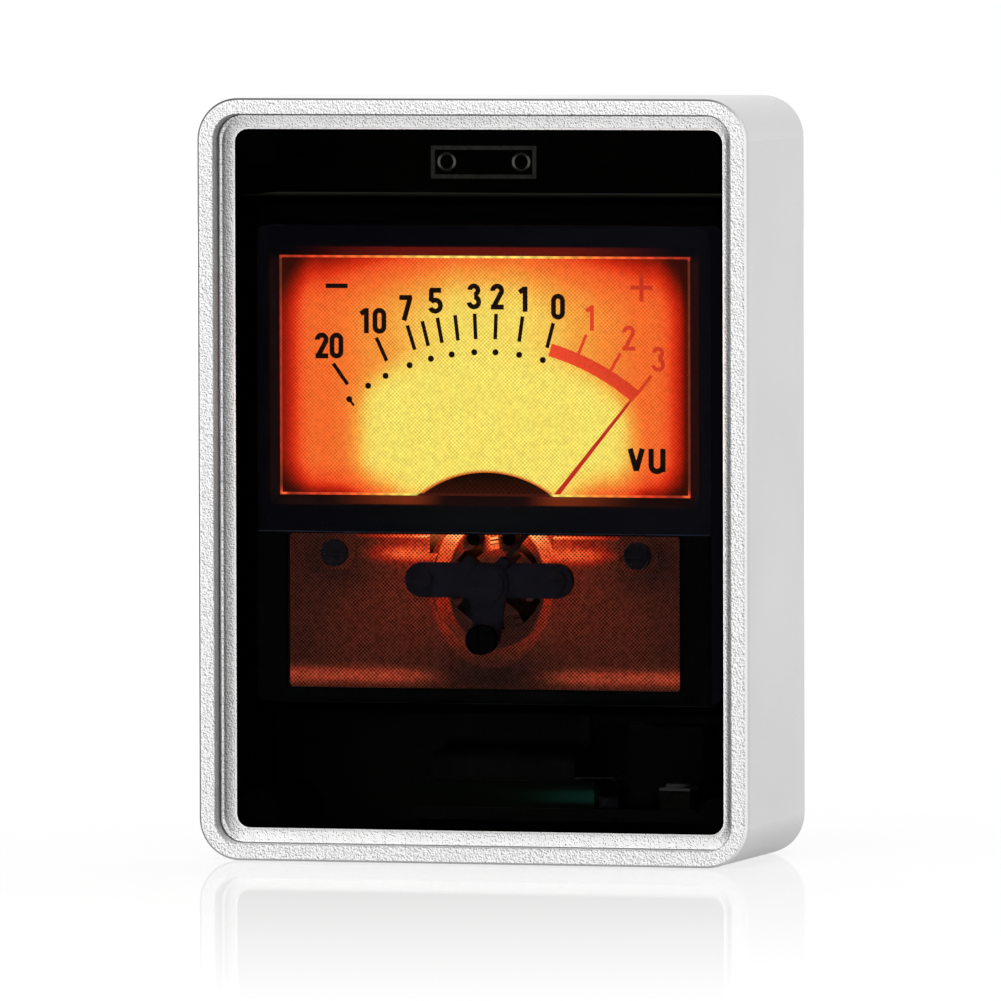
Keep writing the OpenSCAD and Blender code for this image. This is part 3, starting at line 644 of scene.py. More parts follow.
def makeDialGlow():
    # painted light: the dial's emission is the lamps' light through it, with a small share as its colour
    s = dialGlow
    material, tree, shader, place = startMaterial(
        "dialGlow", **{"Roughness": 0.6, "Specular IOR Level": 0.03, "Emission Strength": 1.0})
    heat = useGroup(tree, lampHeat, place)
    weave = useGroup(tree, paperWeave, place, Pitch=s["weavePitch"], Contrast=s["weave"])
    glow = colourSteps(tree, heat["Heat"], s["steps"])
    x, y, z = axes(tree, place)
    reach = radiusAbout(tree, x, z, pivot.x, pivot.z)
    rimOfCut = fade(tree, reach, s["cutOut"] + 0.5 * mm, s["cutOut"])
    glow = blendColours(tree, rimOfCut, glow, s["cutGlow"])
    printed = shaded(tree, glow, weave["Shade"])
    # below the opening only a dull glow is left
    start, end = s["tabs"]
    tabs = fade(tree, z, pivot.z + start, pivot.z + end)
    tabGlow = blendColours(tree, fade(tree, calc(tree, "ABSOLUTE", x), *s["tabReach"]), *s["tabGlow"])
    strong = useGroup(tree, paperWeave, place, Pitch=s["weavePitch"], Contrast=glowPaint["weave"])
    printed = blendColours(tree, tabs, printed, shaded(tree, tabGlow, strong["Shade"]))
    tree.links.new(printed, shader.inputs["Emission Color"])
    tree.links.new(shaded(tree, printed, s["own"]), shader.inputs["Base Color"])
    return material


def makeInk(name, colour, dim, glow):
    # printed ink: the lamps show through it a little
    material, tree, shader, place = startMaterial(
        name, **{"Roughness": 0.7, "Specular IOR Level": 0.1, "Emission Strength": 1.0})
    grain = useGroup(tree, surfaceGrain, place, Scale=3000.0, Contrast=0.12)
    heat = useGroup(tree, lampHeat, place)
    tree.links.new(shaded(tree, colour, grain["Shade"]), shader.inputs["Base Color"])
    lit = blendColours(tree, heat["Heat"], dim, glow)
    tree.links.new(shaded(tree, lit, grain["Shade"]), shader.inputs["Emission Color"])
    return material


glowPaint = {
    "base": 0.20,
    "steps": [(0.0, tone(12, 7, 7)), (0.10, tone(34, 17, 14)), (0.20, tone(60, 25, 17)),
              (0.26, tone(80, 29, 18)), (0.42, tone(142, 31, 16)), (0.62, tone(205, 66, 31)),
              (0.82, tone(238, 98, 48)), (1.0, tone(252, 172, 100))],
    "weave": 0.55,
    "weavePitch": 0.362 * mm,
    "oval": (7.3 * mm, 9.5 * mm),  # half sizes of the lit ring round the movement
    "ovalWide": (0.93, 1.13, 0.05),
    "ovalOutside": (1.1, 1.2),
    "ovalLight": 0.06,
    # spots: middle x, height over the pivot or the plate's foot, half sizes and strength
    "overCore": (0.0, 6.6 * mm, 9.5 * mm, 3.0 * mm, 0.58),
    "overBridge": (11.5 * mm, 3.9 * mm, 4.4 * mm, 0.9 * mm, 0.43),
    "halo": (0.0, 0.5 * mm, 19 * mm, 9 * mm, 0.10),
    # painted shadows about the dial screws and under the stem
    "screws": (20.8 * mm, 3.0 * mm, 4.2 * mm, 3.8 * mm, -0.12),
    "stemShadow": (0.0, 2.4 * mm, 8 * mm, 3.6 * mm, -0.13),
    # fields: from and to in height, from and to in width, strength
    "band": (4.0 * mm, 4.8 * mm, 19 * mm, 14 * mm, 0.03),
    "sides": (-12 * mm, -9 * mm, 19 * mm, 27 * mm, -0.05),
    # lines: height, half height, from and to in width, strength
    "upperLightLine": (6.25 * mm, 0.22 * mm, 23 * mm, 5 * mm, 0.5),
    "footLine": (2.0 * mm, 0.85 * mm, 4.5 * mm, 14 * mm, 0.24),
    "footPale": (0.7, tone(140, 62, 41)),
    "own": (0.06, 0.06, 0.06, 1),  # share of the glow that is left as the paint's own colour
}


def ovalRing(tree, x, z):
    # light of the lamps round the movement: the mask of an oval ring, and of what lies outside it
    s = glowPaint
    wide = calc(tree, "DIVIDE", minus(tree, x, pivot.x), s["oval"][0])
    tall = calc(tree, "DIVIDE", minus(tree, z, pivot.z), s["oval"][1])
    reach = calc(tree, "SQRT", squareSum(tree, wide, tall))
    return between(tree, reach, *s["ovalWide"]), fade(tree, reach, *s["ovalOutside"])


def wovenGlow(tree, place, light):
    # warm light of the lamps on the movement, as woven as on the plate
    s = glowPaint
    weave = useGroup(tree, paperWeave, place, Pitch=s["weavePitch"], Contrast=s["weave"])
    return shaded(tree, colourSteps(tree, light, s["steps"]), weave["Shade"])


def makeGlowPaint():
    # painted light of the lamps behind the plate, with painted shadows about the screws and under the
    # stem
    s = glowPaint
    material, tree, shader, place = startMaterial(
        "glowPaint", **{"Roughness": 0.6, "Specular IOR Level": 0.1, "Emission Strength": 1.0})
    x, y, z = axes(tree, place)
    wide = calc(tree, "ABSOLUTE", x)
    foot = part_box("glow_plate")[0].z
    total = s["base"]
    for across, title in ((x, "overCore"), (wide, "overBridge"), (x, "halo"), (wide, "screws")):
        total = addSpot(tree, total, across, z, s[title], pivot.z)
    total = addSpot(tree, total, x, z, s["stemShadow"], foot)
    # painted light: a red band under the upper edge, and painted shade on the sides
    for title in ("band", "sides"):
        low, high, start, end, strength = s[title]
        field = times(tree, fade(tree, z, pivot.z + low, pivot.z + high), fade(tree, wide, start, end))
        total = plus(tree, total, times(tree, field, strength))
    # painted bright lines of light under the upper edge and along the foot
    lines = {}
    for title, level in (("upperLightLine", pivot.z), ("footLine", foot)):
        up, high, start, end, strength = s[title]
        lines[title] = times(tree, ridge(tree, z, level + up, high), fade(tree, wide, start, end))
        total = plus(tree, total, times(tree, lines[title], strength))
    total = plus(tree, total, times(tree, ovalRing(tree, x, z)[0], s["ovalLight"]))
    glow = colourSteps(tree, total, s["steps"])
    share, pale = s["footPale"]
    glow = blendColours(tree, times(tree, lines["footLine"], share), glow, pale)
    weave = useGroup(tree, paperWeave, place, Pitch=s["weavePitch"], Contrast=s["weave"])
    glow = shaded(tree, glow, weave["Shade"])
    tree.links.new(glow, shader.inputs["Emission Color"])
    tree.links.new(shaded(tree, glow, s["own"]), shader.inputs["Base Color"])
    return material


def makeLampLight():
    material, tree, shader, place = startMaterial(
        "lampLight", **{"Roughness": 0.3, "Emission Strength": 1.5})
    grain = useGroup(tree, surfaceGrain, place, Scale=900.0, Contrast=0.08)["Shade"]
    tree.links.new(shaded(tree, tone(255, 196, 96), grain), shader.inputs["Emission Color"])
    tree.links.new(shaded(tree, tone(236, 206, 120), grain), shader.inputs["Base Color"])
    return material


# Boards, chips and small parts

def makeBoard(name, mask, copper):
    # solder mask with faint tracks under it
    material, tree, shader, place, tint = grainyMaterial(
        name, mask, 1800.0, 0.1, (0.5, 0.62), 0.004 * mm, specular=0.03)
    tracks = addNode(tree, "ShaderNodeTexBrick", offset=0.5)
    tracks.inputs["Scale"].default_value = 1.0
    tracks.inputs["Brick Width"].default_value = 7.6 * mm
    tracks.inputs["Row Height"].default_value = 2.54 * mm
    tracks.inputs["Mortar Size"].default_value = 0.16 * mm
    turned = addNode(tree, "ShaderNodeMapping")
    turned.inputs["Rotation"].default_value = (math.pi / 2, 0, 0)
    tree.links.new(place, turned.inputs["Vector"])
    tree.links.new(turned.outputs["Vector"], tracks.inputs["Vector"])
    lines = times(tree, tracks.outputs["Fac"], 0.35)
    tree.links.new(blendColours(tree, lines, tint, copper), shader.inputs["Base Color"])
    return material


def makeChip():
    # black body with tinned legs above and below it
    material, tree, shader, place, tint = grainyMaterial(
        "chipPlastic", tone(30, 31, 33), 2600.0, 0.2, (0.5, 0.65))
    x, y, z = axes(tree, place)
    chipLow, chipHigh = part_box("driver_chip")
    away = calc(tree, "ABSOLUTE", minus(tree, z, (chipLow.z + chipHigh.z) / 2))
    leg = fade(tree, away, 1.93 * mm, 1.97 * mm)
    tree.links.new(blendColours(tree, leg, tint, tone(196, 198, 200)), shader.inputs["Base Color"])
    tree.links.new(leg, shader.inputs["Metallic"])
    return material


def makeCan():
    # turned aluminium can on a black foot
    material, tree, shader, place, tint = grainyMaterial(
        "canAluminium", tone(205, 207, 210), 1900.0, 0.05, (0.28, 0.4), metallic=1.0)
    x, y, z = axes(tree, place)
    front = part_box("capacitors")[0].y
    foot = fade(tree, y, front + 0.62 * mm, front + 0.58 * mm)
    rings = addNode(tree, "ShaderNodeTexWave", bands_direction="Y")
    rings.inputs["Scale"].default_value = 420.0
    tree.links.new(place, rings.inputs["Vector"])
    band = times(tree, rings.outputs["Fac"], 0.12)
    brushed = blendColours(tree, band, tint, tone(150, 152, 156))
    tree.links.new(blendColours(tree, foot, brushed, tone(24, 24, 25)), shader.inputs["Base Color"])
    tree.links.new(oneMinus(tree, foot), shader.inputs["Metallic"])
    return material


def makeWireRows(name, colour, gaps, direction, waveScale, share, depth, **grain):
    # rows of fine wire side by side, darker or paler between them
    material, tree, shader, place, tint = grainyMaterial(name, colour, depth=0.0, **grain)
    wires = addNode(tree, "ShaderNodeTexWave", bands_direction=direction)
    wires.inputs["Scale"].default_value = waveScale
    tree.links.new(place, wires.inputs["Vector"])
    rows = times(tree, wires.outputs["Fac"], share)
    tree.links.new(blendColours(tree, rows, tint, gaps), shader.inputs["Base Color"])
    bump(tree, shader, wires.outputs["Fac"], depth)
    return material


def makeRibbon():
    return makeWireRows("ribbonJacket", tone(3, 3, 3), tone(6, 6, 6), "X", 125.0, 0.5, 0.08 * mm,
                        scale=1600.0, contrast=0.12, rough=(0.55, 0.7), specular=0.05)


def makeCopper():
    return makeWireRows("coilCopper", tone(30, 13, 9), tone(15, 7, 5), "Y", 2200.0, 0.45, 0.03 * mm,
                        scale=2600.0, contrast=0.1, rough=(0.4, 0.55), specular=0.1)


def makeNeedlePaintGlow():
    # dark paint, red towards the tip; its emission is painted light, strongest on the tip
    material, tree, shader, place = startMaterial(
        "needlePaintGlow", **{"Roughness": 0.5, "Specular IOR Level": 0.2, "Emission Strength": 1.0})
    grain = useGroup(tree, surfaceGrain, place, Scale=1800.0, Contrast=0.1)
    x, y, z = axes(tree, place)
    tip = fade(tree, radiusAbout(tree, x, z, pivot.x, pivot.z), 10 * mm, 12 * mm)
    lit = blendColours(tree, tip, tone(16, 5, 4), tone(176, 38, 26))
    tree.links.new(lit, shader.inputs["Emission Color"])
    paint = blendColours(tree, tip, tone(12, 8, 8), tone(120, 22, 18))
    tree.links.new(shaded(tree, paint, grain["Shade"]), shader.inputs["Base Color"])
    return material


def makeCoverAluminium():
    # blasted outside, and black on the face that looks into the case, as painted shade
    material, tree, shader, place, tint = grainyMaterial(
        "coverAluminium", (0.58, 0.585, 0.59, 1), 3000.0, 0.08, (0.42, 0.52), 0.01 * mm, specular=0.03)
    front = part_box("rear_cover")[0].y
    x, y, z = axes(tree, place)
    outside = fade(tree, y, front + 0.05 * mm, front + 0.1 * mm)
    tree.links.new(blendColours(tree, outside, caseFinish["inside"], tint), shader.inputs["Base Color"])
    tree.links.new(outside, shader.inputs["Metallic"])
    return material


def makeSocketSteel():
    # bright at the mouth; where it is soldered inside the case it is painted dark, as painted shade
    material, tree, shader, place, tint = grainyMaterial(
        "socketSteel", tone(188, 189, 190), 1500.0, 0.06, (0.25, 0.4), metallic=1.0)
    x, y, z = axes(tree, place)
    mouth = fade(tree, y, caseHigh.y - 3.0 * mm, caseHigh.y - 2.2 * mm)
    tree.links.new(blendColours(tree, mouth, tone(16, 16, 17), tint), shader.inputs["Base Color"])
    return material


def makeHeaderGreen():
    # dark green plastic, with light only at the end towards the USB socket
    material, tree, shader, place, tint = grainyMaterial(
        "headerPlastic", tone(2, 6, 2), 1500.0, 0.15, (0.5, 0.6), specular=0.02)
    low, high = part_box("link_header")
    x, y, z = axes(tree, place)
    along = calc(tree, "POWER", fade(tree, x, high.x - 26 * mm, high.x), 5.0)
    strip = between(tree, z, low.z + 1.2 * mm, high.z - 1.6 * mm, 0.8 * mm)
    lit = times(tree, along, strip)
    tree.links.new(blendColours(tree, lit, tint, tone(13, 50, 42)), shader.inputs["Base Color"])
    return material


def makeFerrite():
    # dark ferrite with a paler plate on top
    material, tree, shader, place, tint = grainyMaterial(
        "ferrite", tone(12, 13, 11), 1400.0, 0.2, (0.5, 0.65), specular=0.03)
    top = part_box("inductor")[1].z
    x, y, z = axes(tree, place)
    plate = fade(tree, z, top - 0.85 * mm, top - 0.8 * mm)
    tree.links.new(blendColours(tree, plate, tint, tone(66, 66, 66)), shader.inputs["Base Color"])
    return material


boardPrint = {
    "thickness": 0.03 * mm,
    "left": -11.4 * mm,
    "right": 2.5 * mm,
    "low": 89.3 * mm,
    "top": 93.1 * mm,
    "line": 0.55 * mm,
    "pads": [(-9.5 * mm, 91.25 * mm), (0.7 * mm, 91.25 * mm)],
    "padRadius": 1.25 * mm,
    "holeRadius": 0.93 * mm,
}


def makePadTin():
    # tinned rings on the board with a painted reflection: bright on their sides and dull above and below
    material, tree, shader, place, tint = grainyMaterial(
        "padTin", tone(52, 52, 50), 2600.0, 0.3, (0.3, 0.4), specular=0.1)
    x, y, z = axes(tree, place)
    level = calc(tree, "ABSOLUTE", minus(tree, z, boardPrint["pads"][0][1]))
    sides = fade(tree, level, 1.0 * mm, 0.3 * mm)
    tree.links.new(blendColours(tree, sides, tint, tone(158, 158, 152)), shader.inputs["Base Color"])
    return material


studShadow = {
    "across": 2.45 * mm,
    "up": 5.25 * mm,  # above the pivot
    "inner": 1.15 * mm,
    "outer": 1.75 * mm,
    "from": -4.6 * mm,  # y of the studs' fronts
    "slant": (0.272, -0.044),  # how far the shadow moves in x and z for its way back
}


def lightPastStuds(tree, x, y, z, loss):
    # what is left of the lamps' light beside and behind the studs
    s = studShadow
    back = minus(tree, y, s["from"])
    wide = calc(tree, "ABSOLUTE", plus(tree, x, times(tree, back, s["slant"][0])))
    tall = plus(tree, z, times(tree, back, s["slant"][1]))
    reach = radiusAbout(tree, wide, tall, s["across"], pivot.z + s["up"])
    return oneMinus(tree, times(tree, fade(tree, reach, s["outer"], s["inner"]), loss))


warmIron = {
    "overCore": (0.0, 7.6 * mm, 8.5 * mm, 3.4 * mm, 0.7),  # a spot of light over the pivot
    "ringRise": (-9 * mm, 4 * mm),
    "ringLight": (0.1, 0.44),
    "outside": 0.14,
    "base": 0.12,
    "shadow": 0.85,
}


def makeWarmIron():
    # soft iron of the movement, lit from above by the lamps
    s = warmIron
    material, tree, shader, place, tint = grainyMaterial(
        "warmIron", tone(14, 10, 9), 900.0, 0.12, (0.45, 0.6), specular=0.05)
    shader.inputs["Emission Strength"].default_value = 1.0
    x, y, z = axes(tree, place)
    light = addSpot(tree, 0.0, x, z, s["overCore"], pivot.z)
    ring, outside = ovalRing(tree, x, z)
    low, high = s["ringRise"]
    ringLight = mixValue(tree, fade(tree, z, pivot.z + low, pivot.z + high), *s["ringLight"])
    light = plus(tree, light, times(tree, ring, ringLight))
    light = plus(tree, light, times(tree, outside, s["outside"]))
    light = plus(tree, times(tree, light, lightPastStuds(tree, x, y, z, s["shadow"])), s["base"])
    tree.links.new(wovenGlow(tree, place, light), shader.inputs["Emission Color"])
    return material


spacerBrown = {
    "middle": (-0.7 * mm, 6.0 * mm, 0.9 * mm, 2.6 * mm, 0.85),  # a spot of light over the pivot
    "base": 0.1,
    "shadow": 0.85,
}


def makeSpacerBrown():
    # dark spacers over and under the core, with light from the lamps in the middle of the upper one
    s = spacerBrown
    material, tree, shader, place, tint = grainyMaterial(
        "spacerBrown", tone(20, 9, 6), 1500.0, 0.3, (0.5, 0.6), specular=0.04)
    shader.inputs["Emission Strength"].default_value = 1.0
    x, y, z = axes(tree, place)
    light = addSpot(tree, 0.0, x, z, s["middle"], pivot.z)
    light = plus(tree, times(tree, light, lightPastStuds(tree, x, y, z, s["shadow"])), s["base"])
    tree.links.new(wovenGlow(tree, place, light), shader.inputs["Emission Color"])
    return material


maskShine = {
    "above": (4.0 * mm, 2.9 * mm, 0.3 * mm),  # under the mask's top
    "aboveReach": (27 * mm, 9 * mm),
    "aboveRed": tone(96, 19, 11),
    "beside": (27.8 * mm, 29.0 * mm, 0.4 * mm),
    "besideTall": (12.5 * mm, 5.0 * mm, 1.5 * mm),  # over the pivot, under the mask's top
    "besideRed": (tone(21, 7, 7), tone(34, 10, 8)),  # left and right
    "below": (10.5 * mm, 11.8 * mm, 0.3 * mm),  # over the pivot
    "belowReach": (29 * mm, 26 * mm),
    "belowRed": tone(23, 8, 6),
    "under": (10.7 * mm, 11.8 * mm, 0.2 * mm),
    "underReach": ((22 * mm, 9 * mm), (5 * mm, 10.5 * mm)),
    "underRed": tone(114, 42, 17),
    "hazeReach": (-16 * mm, 22 * mm),
    "haze": (tone(2, 2, 4), tone(6, 6, 11)),
    "middle": (0.0, 8.7 * mm, 15 * mm, 2.0 * mm),
    "middleHaze": tone(8, 9, 10),
}


def makeMaskBlack():
    # satin black, with a painted dull red shine on the bevel over the dial and under it
    s = maskShine
    material, tree, shader, place, tint = grainyMaterial(
        "maskBlack", tone(10, 10, 14), 2200.0, 0.15, (0.42, 0.55), specular=0.04)
    shader.inputs["Emission Strength"].default_value = 1.0
    x, y, z = axes(tree, place)
    wide = calc(tree, "ABSOLUTE", x)
    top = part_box("meter_mask")[1].z
    # painted sheen: a faint bluish haze over the mask, lighter to the right and in the middle
    red = blendColours(tree, fade(tree, x, *s["hazeReach"]), *s["haze"])
    across, up, halfWide, halfTall = s["middle"]
    middle = hill(tree, x, z, across, pivot.z + up, halfWide, halfTall)
    red = blendColours(tree, middle, red, s["middleHaze"])
    low, high, soft = s["above"]
    above = between(tree, z, top - low, top - high, soft)
    above = times(tree, above, fade(tree, wide, *s["aboveReach"]))
    red = blendColours(tree, above, red, s["aboveRed"])
    low, high, soft = s["besideTall"]
    beside = between(tree, z, pivot.z + low, top - high, soft)
    beside = times(tree, beside, between(tree, wide, *s["beside"]))
    sideRed = blendColours(tree, fade(tree, x, -9 * mm, 9 * mm), *s["besideRed"])
    red = blendColours(tree, beside, red, sideRed)
    low, high, soft = s["below"]
    below = between(tree, z, pivot.z + low, pivot.z + high, soft)
    below = times(tree, below, fade(tree, wide, *s["belowReach"]))
    red = blendColours(tree, below, red, s["belowRed"])
    low, high, soft = s["under"]
    outer, inner = s["underReach"]
    under = times(tree, between(tree, z, pivot.z + low, pivot.z + high, soft),
                  times(tree, fade(tree, wide, *outer), fade(tree, wide, *inner)))
    red = blendColours(tree, under, red, s["underRed"])
    weave = useGroup(tree, paperWeave, place, Pitch=0.4 * mm, Contrast=0.12)
    tree.links.new(shaded(tree, red, weave["Shade"]), shader.inputs["Emission Color"])
    return material


def makeCoverFilm():
    # thin black sheet, its upper edge catches a cool light
    material, tree, shader, place, tint = grainyMaterial(
        "coverFilm", tone(8, 8, 8), 2600.0, 0.12, (0.4, 0.5), specular=0.02)
    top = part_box("lower_cover")[1].z
    x, y, z = axes(tree, place)
    edge = fade(tree, z, top - 0.16 * mm, top - 0.12 * mm)
    tree.links.new(blendColours(tree, edge, tint, tone(44, 52, 68)), shader.inputs["Base Color"])
    return material


baseShine = {
    "topLitGrey": tone(40, 41, 33),
    "behind": (10.4 * mm, 11.4 * mm),  # over the pivot, where the wall behind the cut-out starts
    "behindReach": (19 * mm, 16 * mm),  # from the pivot
    "behindRise": (14.4 * mm, 11.6 * mm),
    "behindGlow": (tone(19, 9, 5), tone(43, 15, 9)),
    "warm": (0.0, 7.4 * mm, 22 * mm, 1.9 * mm),
    "warmReach": (24 * mm, 18 * mm),
    "warmGlow": tone(236, 106, 55),
    "shadow": 0.9,
    "daylight": (33 * mm, 29 * mm),
    "daylightGlow": tone(25, 26, 21),
    "seam": (0.44 * mm, 0.28 * mm, 0.05 * mm),  # under the top
    "seamGlow": tone(13, 14, 9),
}


def makeBasePlastic():
    # black housing with painted light: an olive grey top, and the lamps' glow on its floor behind the
    # dial
    s = baseShine
    material, tree, shader, place, tint = grainyMaterial(
        "basePlastic", tone(4, 4, 5), 1700.0, 0.15, (0.5, 0.65), specular=0.04)
    shader.inputs["Emission Strength"].default_value = 1.0
    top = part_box("meter_base")[1].z
    x, y, z = axes(tree, place)
    upper = fade(tree, z, top - 0.06 * mm, top - 0.02 * mm)
    tree.links.new(blendColours(tree, upper, tint, s["topLitGrey"]), shader.inputs["Base Color"])
    low, high = s["behind"]
    cutOut = times(tree, fade(tree, z, pivot.z + low, pivot.z + high),
                   fade(tree, radiusAbout(tree, x, z, pivot.x, pivot.z), *s["behindReach"]))
    high, low = s["behindRise"]
    behind = blendColours(tree, fade(tree, z, pivot.z + high, pivot.z + low), *s["behindGlow"])
    glow = blendColours(tree, cutOut, tone(0, 0, 0), behind)
    across, up, halfWide, halfTall = s["warm"]
    warm = times(tree, hill(tree, x, z, across, pivot.z + up, halfWide, halfTall),
                 fade(tree, calc(tree, "ABSOLUTE", x), *s["warmReach"]))
    warm = times(tree, warm, lightPastStuds(tree, x, y, z, s["shadow"]))
    glow = blendColours(tree, warm, glow, s["warmGlow"])
    weave = useGroup(tree, paperWeave, place, Pitch=0.5 * mm, Contrast=0.2)
    glow = shaded(tree, glow, weave["Shade"])
    # daylight along the top, and along the seam of the lens just under it
    daylit = times(tree, upper, fade(tree, x, *s["daylight"]))
    glow = blendColours(tree, daylit, glow, s["daylightGlow"])
    low, high, soft = s["seam"]
    seam = between(tree, z, top - low, top - high, soft)
    glow = blendColours(tree, seam, glow, s["seamGlow"])
    tree.links.new(glow, shader.inputs["Emission Color"])
    return material


openingLip = {
    "width": 0.3 * mm,
    "thickness": 0.12 * mm,
    "beforeNeedle": 0.05 * mm,
    "low": 11.75 * mm,  # height of the opening's lower edge above the pivot
    "belowTop": 3.9 * mm,
    "inFromSide": 2.9 * mm,
    "brighter": {"sides": 0.05, "top": 0.2, "topMiddle": 0.28, "low": 0.1, "corners": 0.34},
}


def makeLipGlow():
    # the lip shows the lamps more strongly than the dial beside it
    s = openingLip["brighter"]
    material, tree, shader, place = startMaterial(
        "lipGlow", **{"Roughness": 0.5, "Specular IOR Level": 0.1, "Emission Strength": 1.0})
    x, y, z = axes(tree, place)
    wide = calc(tree, "ABSOLUTE", x)
    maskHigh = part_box("meter_mask")[1]
    low = pivot.z + openingLip["low"]
    top = maskHigh.z - openingLip["belowTop"]
    side = maskHigh.x - openingLip["inFromSide"]
    heat = useGroup(tree, lampHeat, place)["Heat"]
    onTop = fade(tree, z, top - 0.6 * mm, top - 0.4 * mm)
    extra = plus(tree, times(tree, fade(tree, wide, 24 * mm, 3 * mm), s["topMiddle"]), s["top"])
    heat = plus(tree, heat, mixValue(tree, onTop, s["sides"], extra))
    onLow = fade(tree, z, low + 0.5 * mm, low + 0.35 * mm)
    heat = plus(tree, heat, times(tree, onLow, s["low"]))
    corner = hill(tree, wide, z, side - 0.5 * mm, low + 0.3 * mm, 0.55 * mm, 0.7 * mm)
    heat = plus(tree, heat, times(tree, corner, s["corners"]))
    weave = useGroup(tree, paperWeave, place, Pitch=1.3 * mm, Contrast=0.12)
    glow = shaded(tree, colourSteps(tree, heat, dialGlow["steps"]), weave["Shade"])
    glow = blendColours(tree, 0.06, glow, tone(238, 158, 112))
    # under the cut-out of the dial there is nothing to light it
    reach = radiusAbout(tree, x, z, pivot.x, pivot.z)
    cut = fade(tree, reach, dialGlow["cutOut"] + 0.4 * mm, dialGlow["cutOut"])
    glow = blendColours(tree, cut, glow, tone(66, 22, 16))
    tree.links.new(glow, shader.inputs["Emission Color"])
    tree.links.new(shaded(tree, glow, (0.05, 0.05, 0.05, 1)), shader.inputs["Base Color"])
    return material


# one colour with speckle: the colour, and what differs from the usual grain
plainFinishes = {
    "screwSteel": (tone(46, 47, 50), {"contrast": 0.12, "rough": (0.3, 0.45), "metallic": 0.9}),
    "brightSteel": (tone(188, 189, 190), {"rough": (0.25, 0.4), "metallic": 1.0}),
    "brass": (tone(196, 158, 82), {"scale": 1200.0, "rough": (0.25, 0.4), "metallic": 1.0}),
    "lampBoard": (tone(214, 210, 198), {"contrast": 0.04}),
    "microphoneCan": (tone(120, 122, 126), {"contrast": 0.05, "metallic": 1.0}),
    "blackPlastic": (tone(4, 4, 6),
                     {"scale": 1700.0, "contrast": 0.15, "rough": (0.5, 0.65), "specular": 0.06}),
    "blackScrew": (tone(31, 29, 36), {"contrast": 0.2, "rough": (0.35, 0.5), "specular": 0.06}),
    "adjusterBlack": (tone(2, 2, 4),
                      {"scale": 1700.0, "contrast": 0.2, "rough": (0.5, 0.65), "specular": 0.02}),
    "socketPlastic": (tone(26, 26, 28), {"scale": 1700.0, "contrast": 0.1}),
    "bridgeBlack": (tone(32, 31, 41),
                    {"scale": 1900.0, "contrast": 0.15, "rough": (0.45, 0.6), "specular": 0.04}),
    "potPlastic": (tone(2, 2, 3), {"contrast": 0.2, "specular": 0.02}),
    "shaftPlastic": (tone(206, 204, 196), {"contrast": 0.04, "rough": (0.4, 0.5)}),
    "studBrown": (tone(20, 9, 6), {"contrast": 0.3, "rough": (0.5, 0.6), "specular": 0.04}),
    # painted shade: the brass of the balance weight, as dark as it looks inside the meter
    "shadedBrass": (tone(17, 10, 7), {"contrast": 0.1, "rough": (0.4, 0.5), "specular": 0.1}),
    # painted shade and red lamp light on the aluminium coil former
    "shadedFormerAluminium": (tone(22, 11, 8), {"contrast": 0.08, "rough": (0.5, 0.6), "specular": 0.04}),
    "wireJacket": (tone(150, 26, 24), {"contrast": 0.05}),
    "boardInk": (tone(76, 76, 73),
                 {"scale": 2600.0, "contrast": 0.3, "rough": (0.6, 0.7), "specular": 0.1}),
    "springBronze": (tone(150, 108, 62), {"contrast": 0.05, "metallic": 1.0}),
}
richFinishes = [
    makeCaseAluminium(), makeCoverAluminium(), makeLens(), makeSocketSteel(), makeChip(), makeCan(),
    makeHeaderGreen(), makeRibbon(), makeFerrite(), makeMaskBlack(), makeCoverFilm(), makeBasePlastic(),
    makeLipGlow(), makeWarmIron(), makeSpacerBrown(), makeCopper(), makeDialGlow(), makeGlowPaint(),
    makeLampLight(), makeNeedlePaintGlow(), makePadTin(),
    clearSheet("frontGlass", (0.995, 0.996, 0.995, 1), 1.5)[0],
    makeBoard("boardBlack", tone(2, 2, 1), tone(5, 5, 3)),
    makeBoard("boardGreen", tone(3, 6, 4), tone(8, 15, 9)),
    makeInk("blackInk", tone(14, 10, 8), tone(6, 3, 2), tone(26, 16, 9)),
    makeInk("redInk", tone(90, 22, 14), tone(135, 0, 0), tone(242, 76, 44)),
]
finishes = {material.name: material for material in richFinishes}
for finishName, (colour, values) in plainFinishes.items():
    finishes[finishName] = grainyMaterial(finishName, colour, **values)[0]
print("finishes made:", len(finishes))

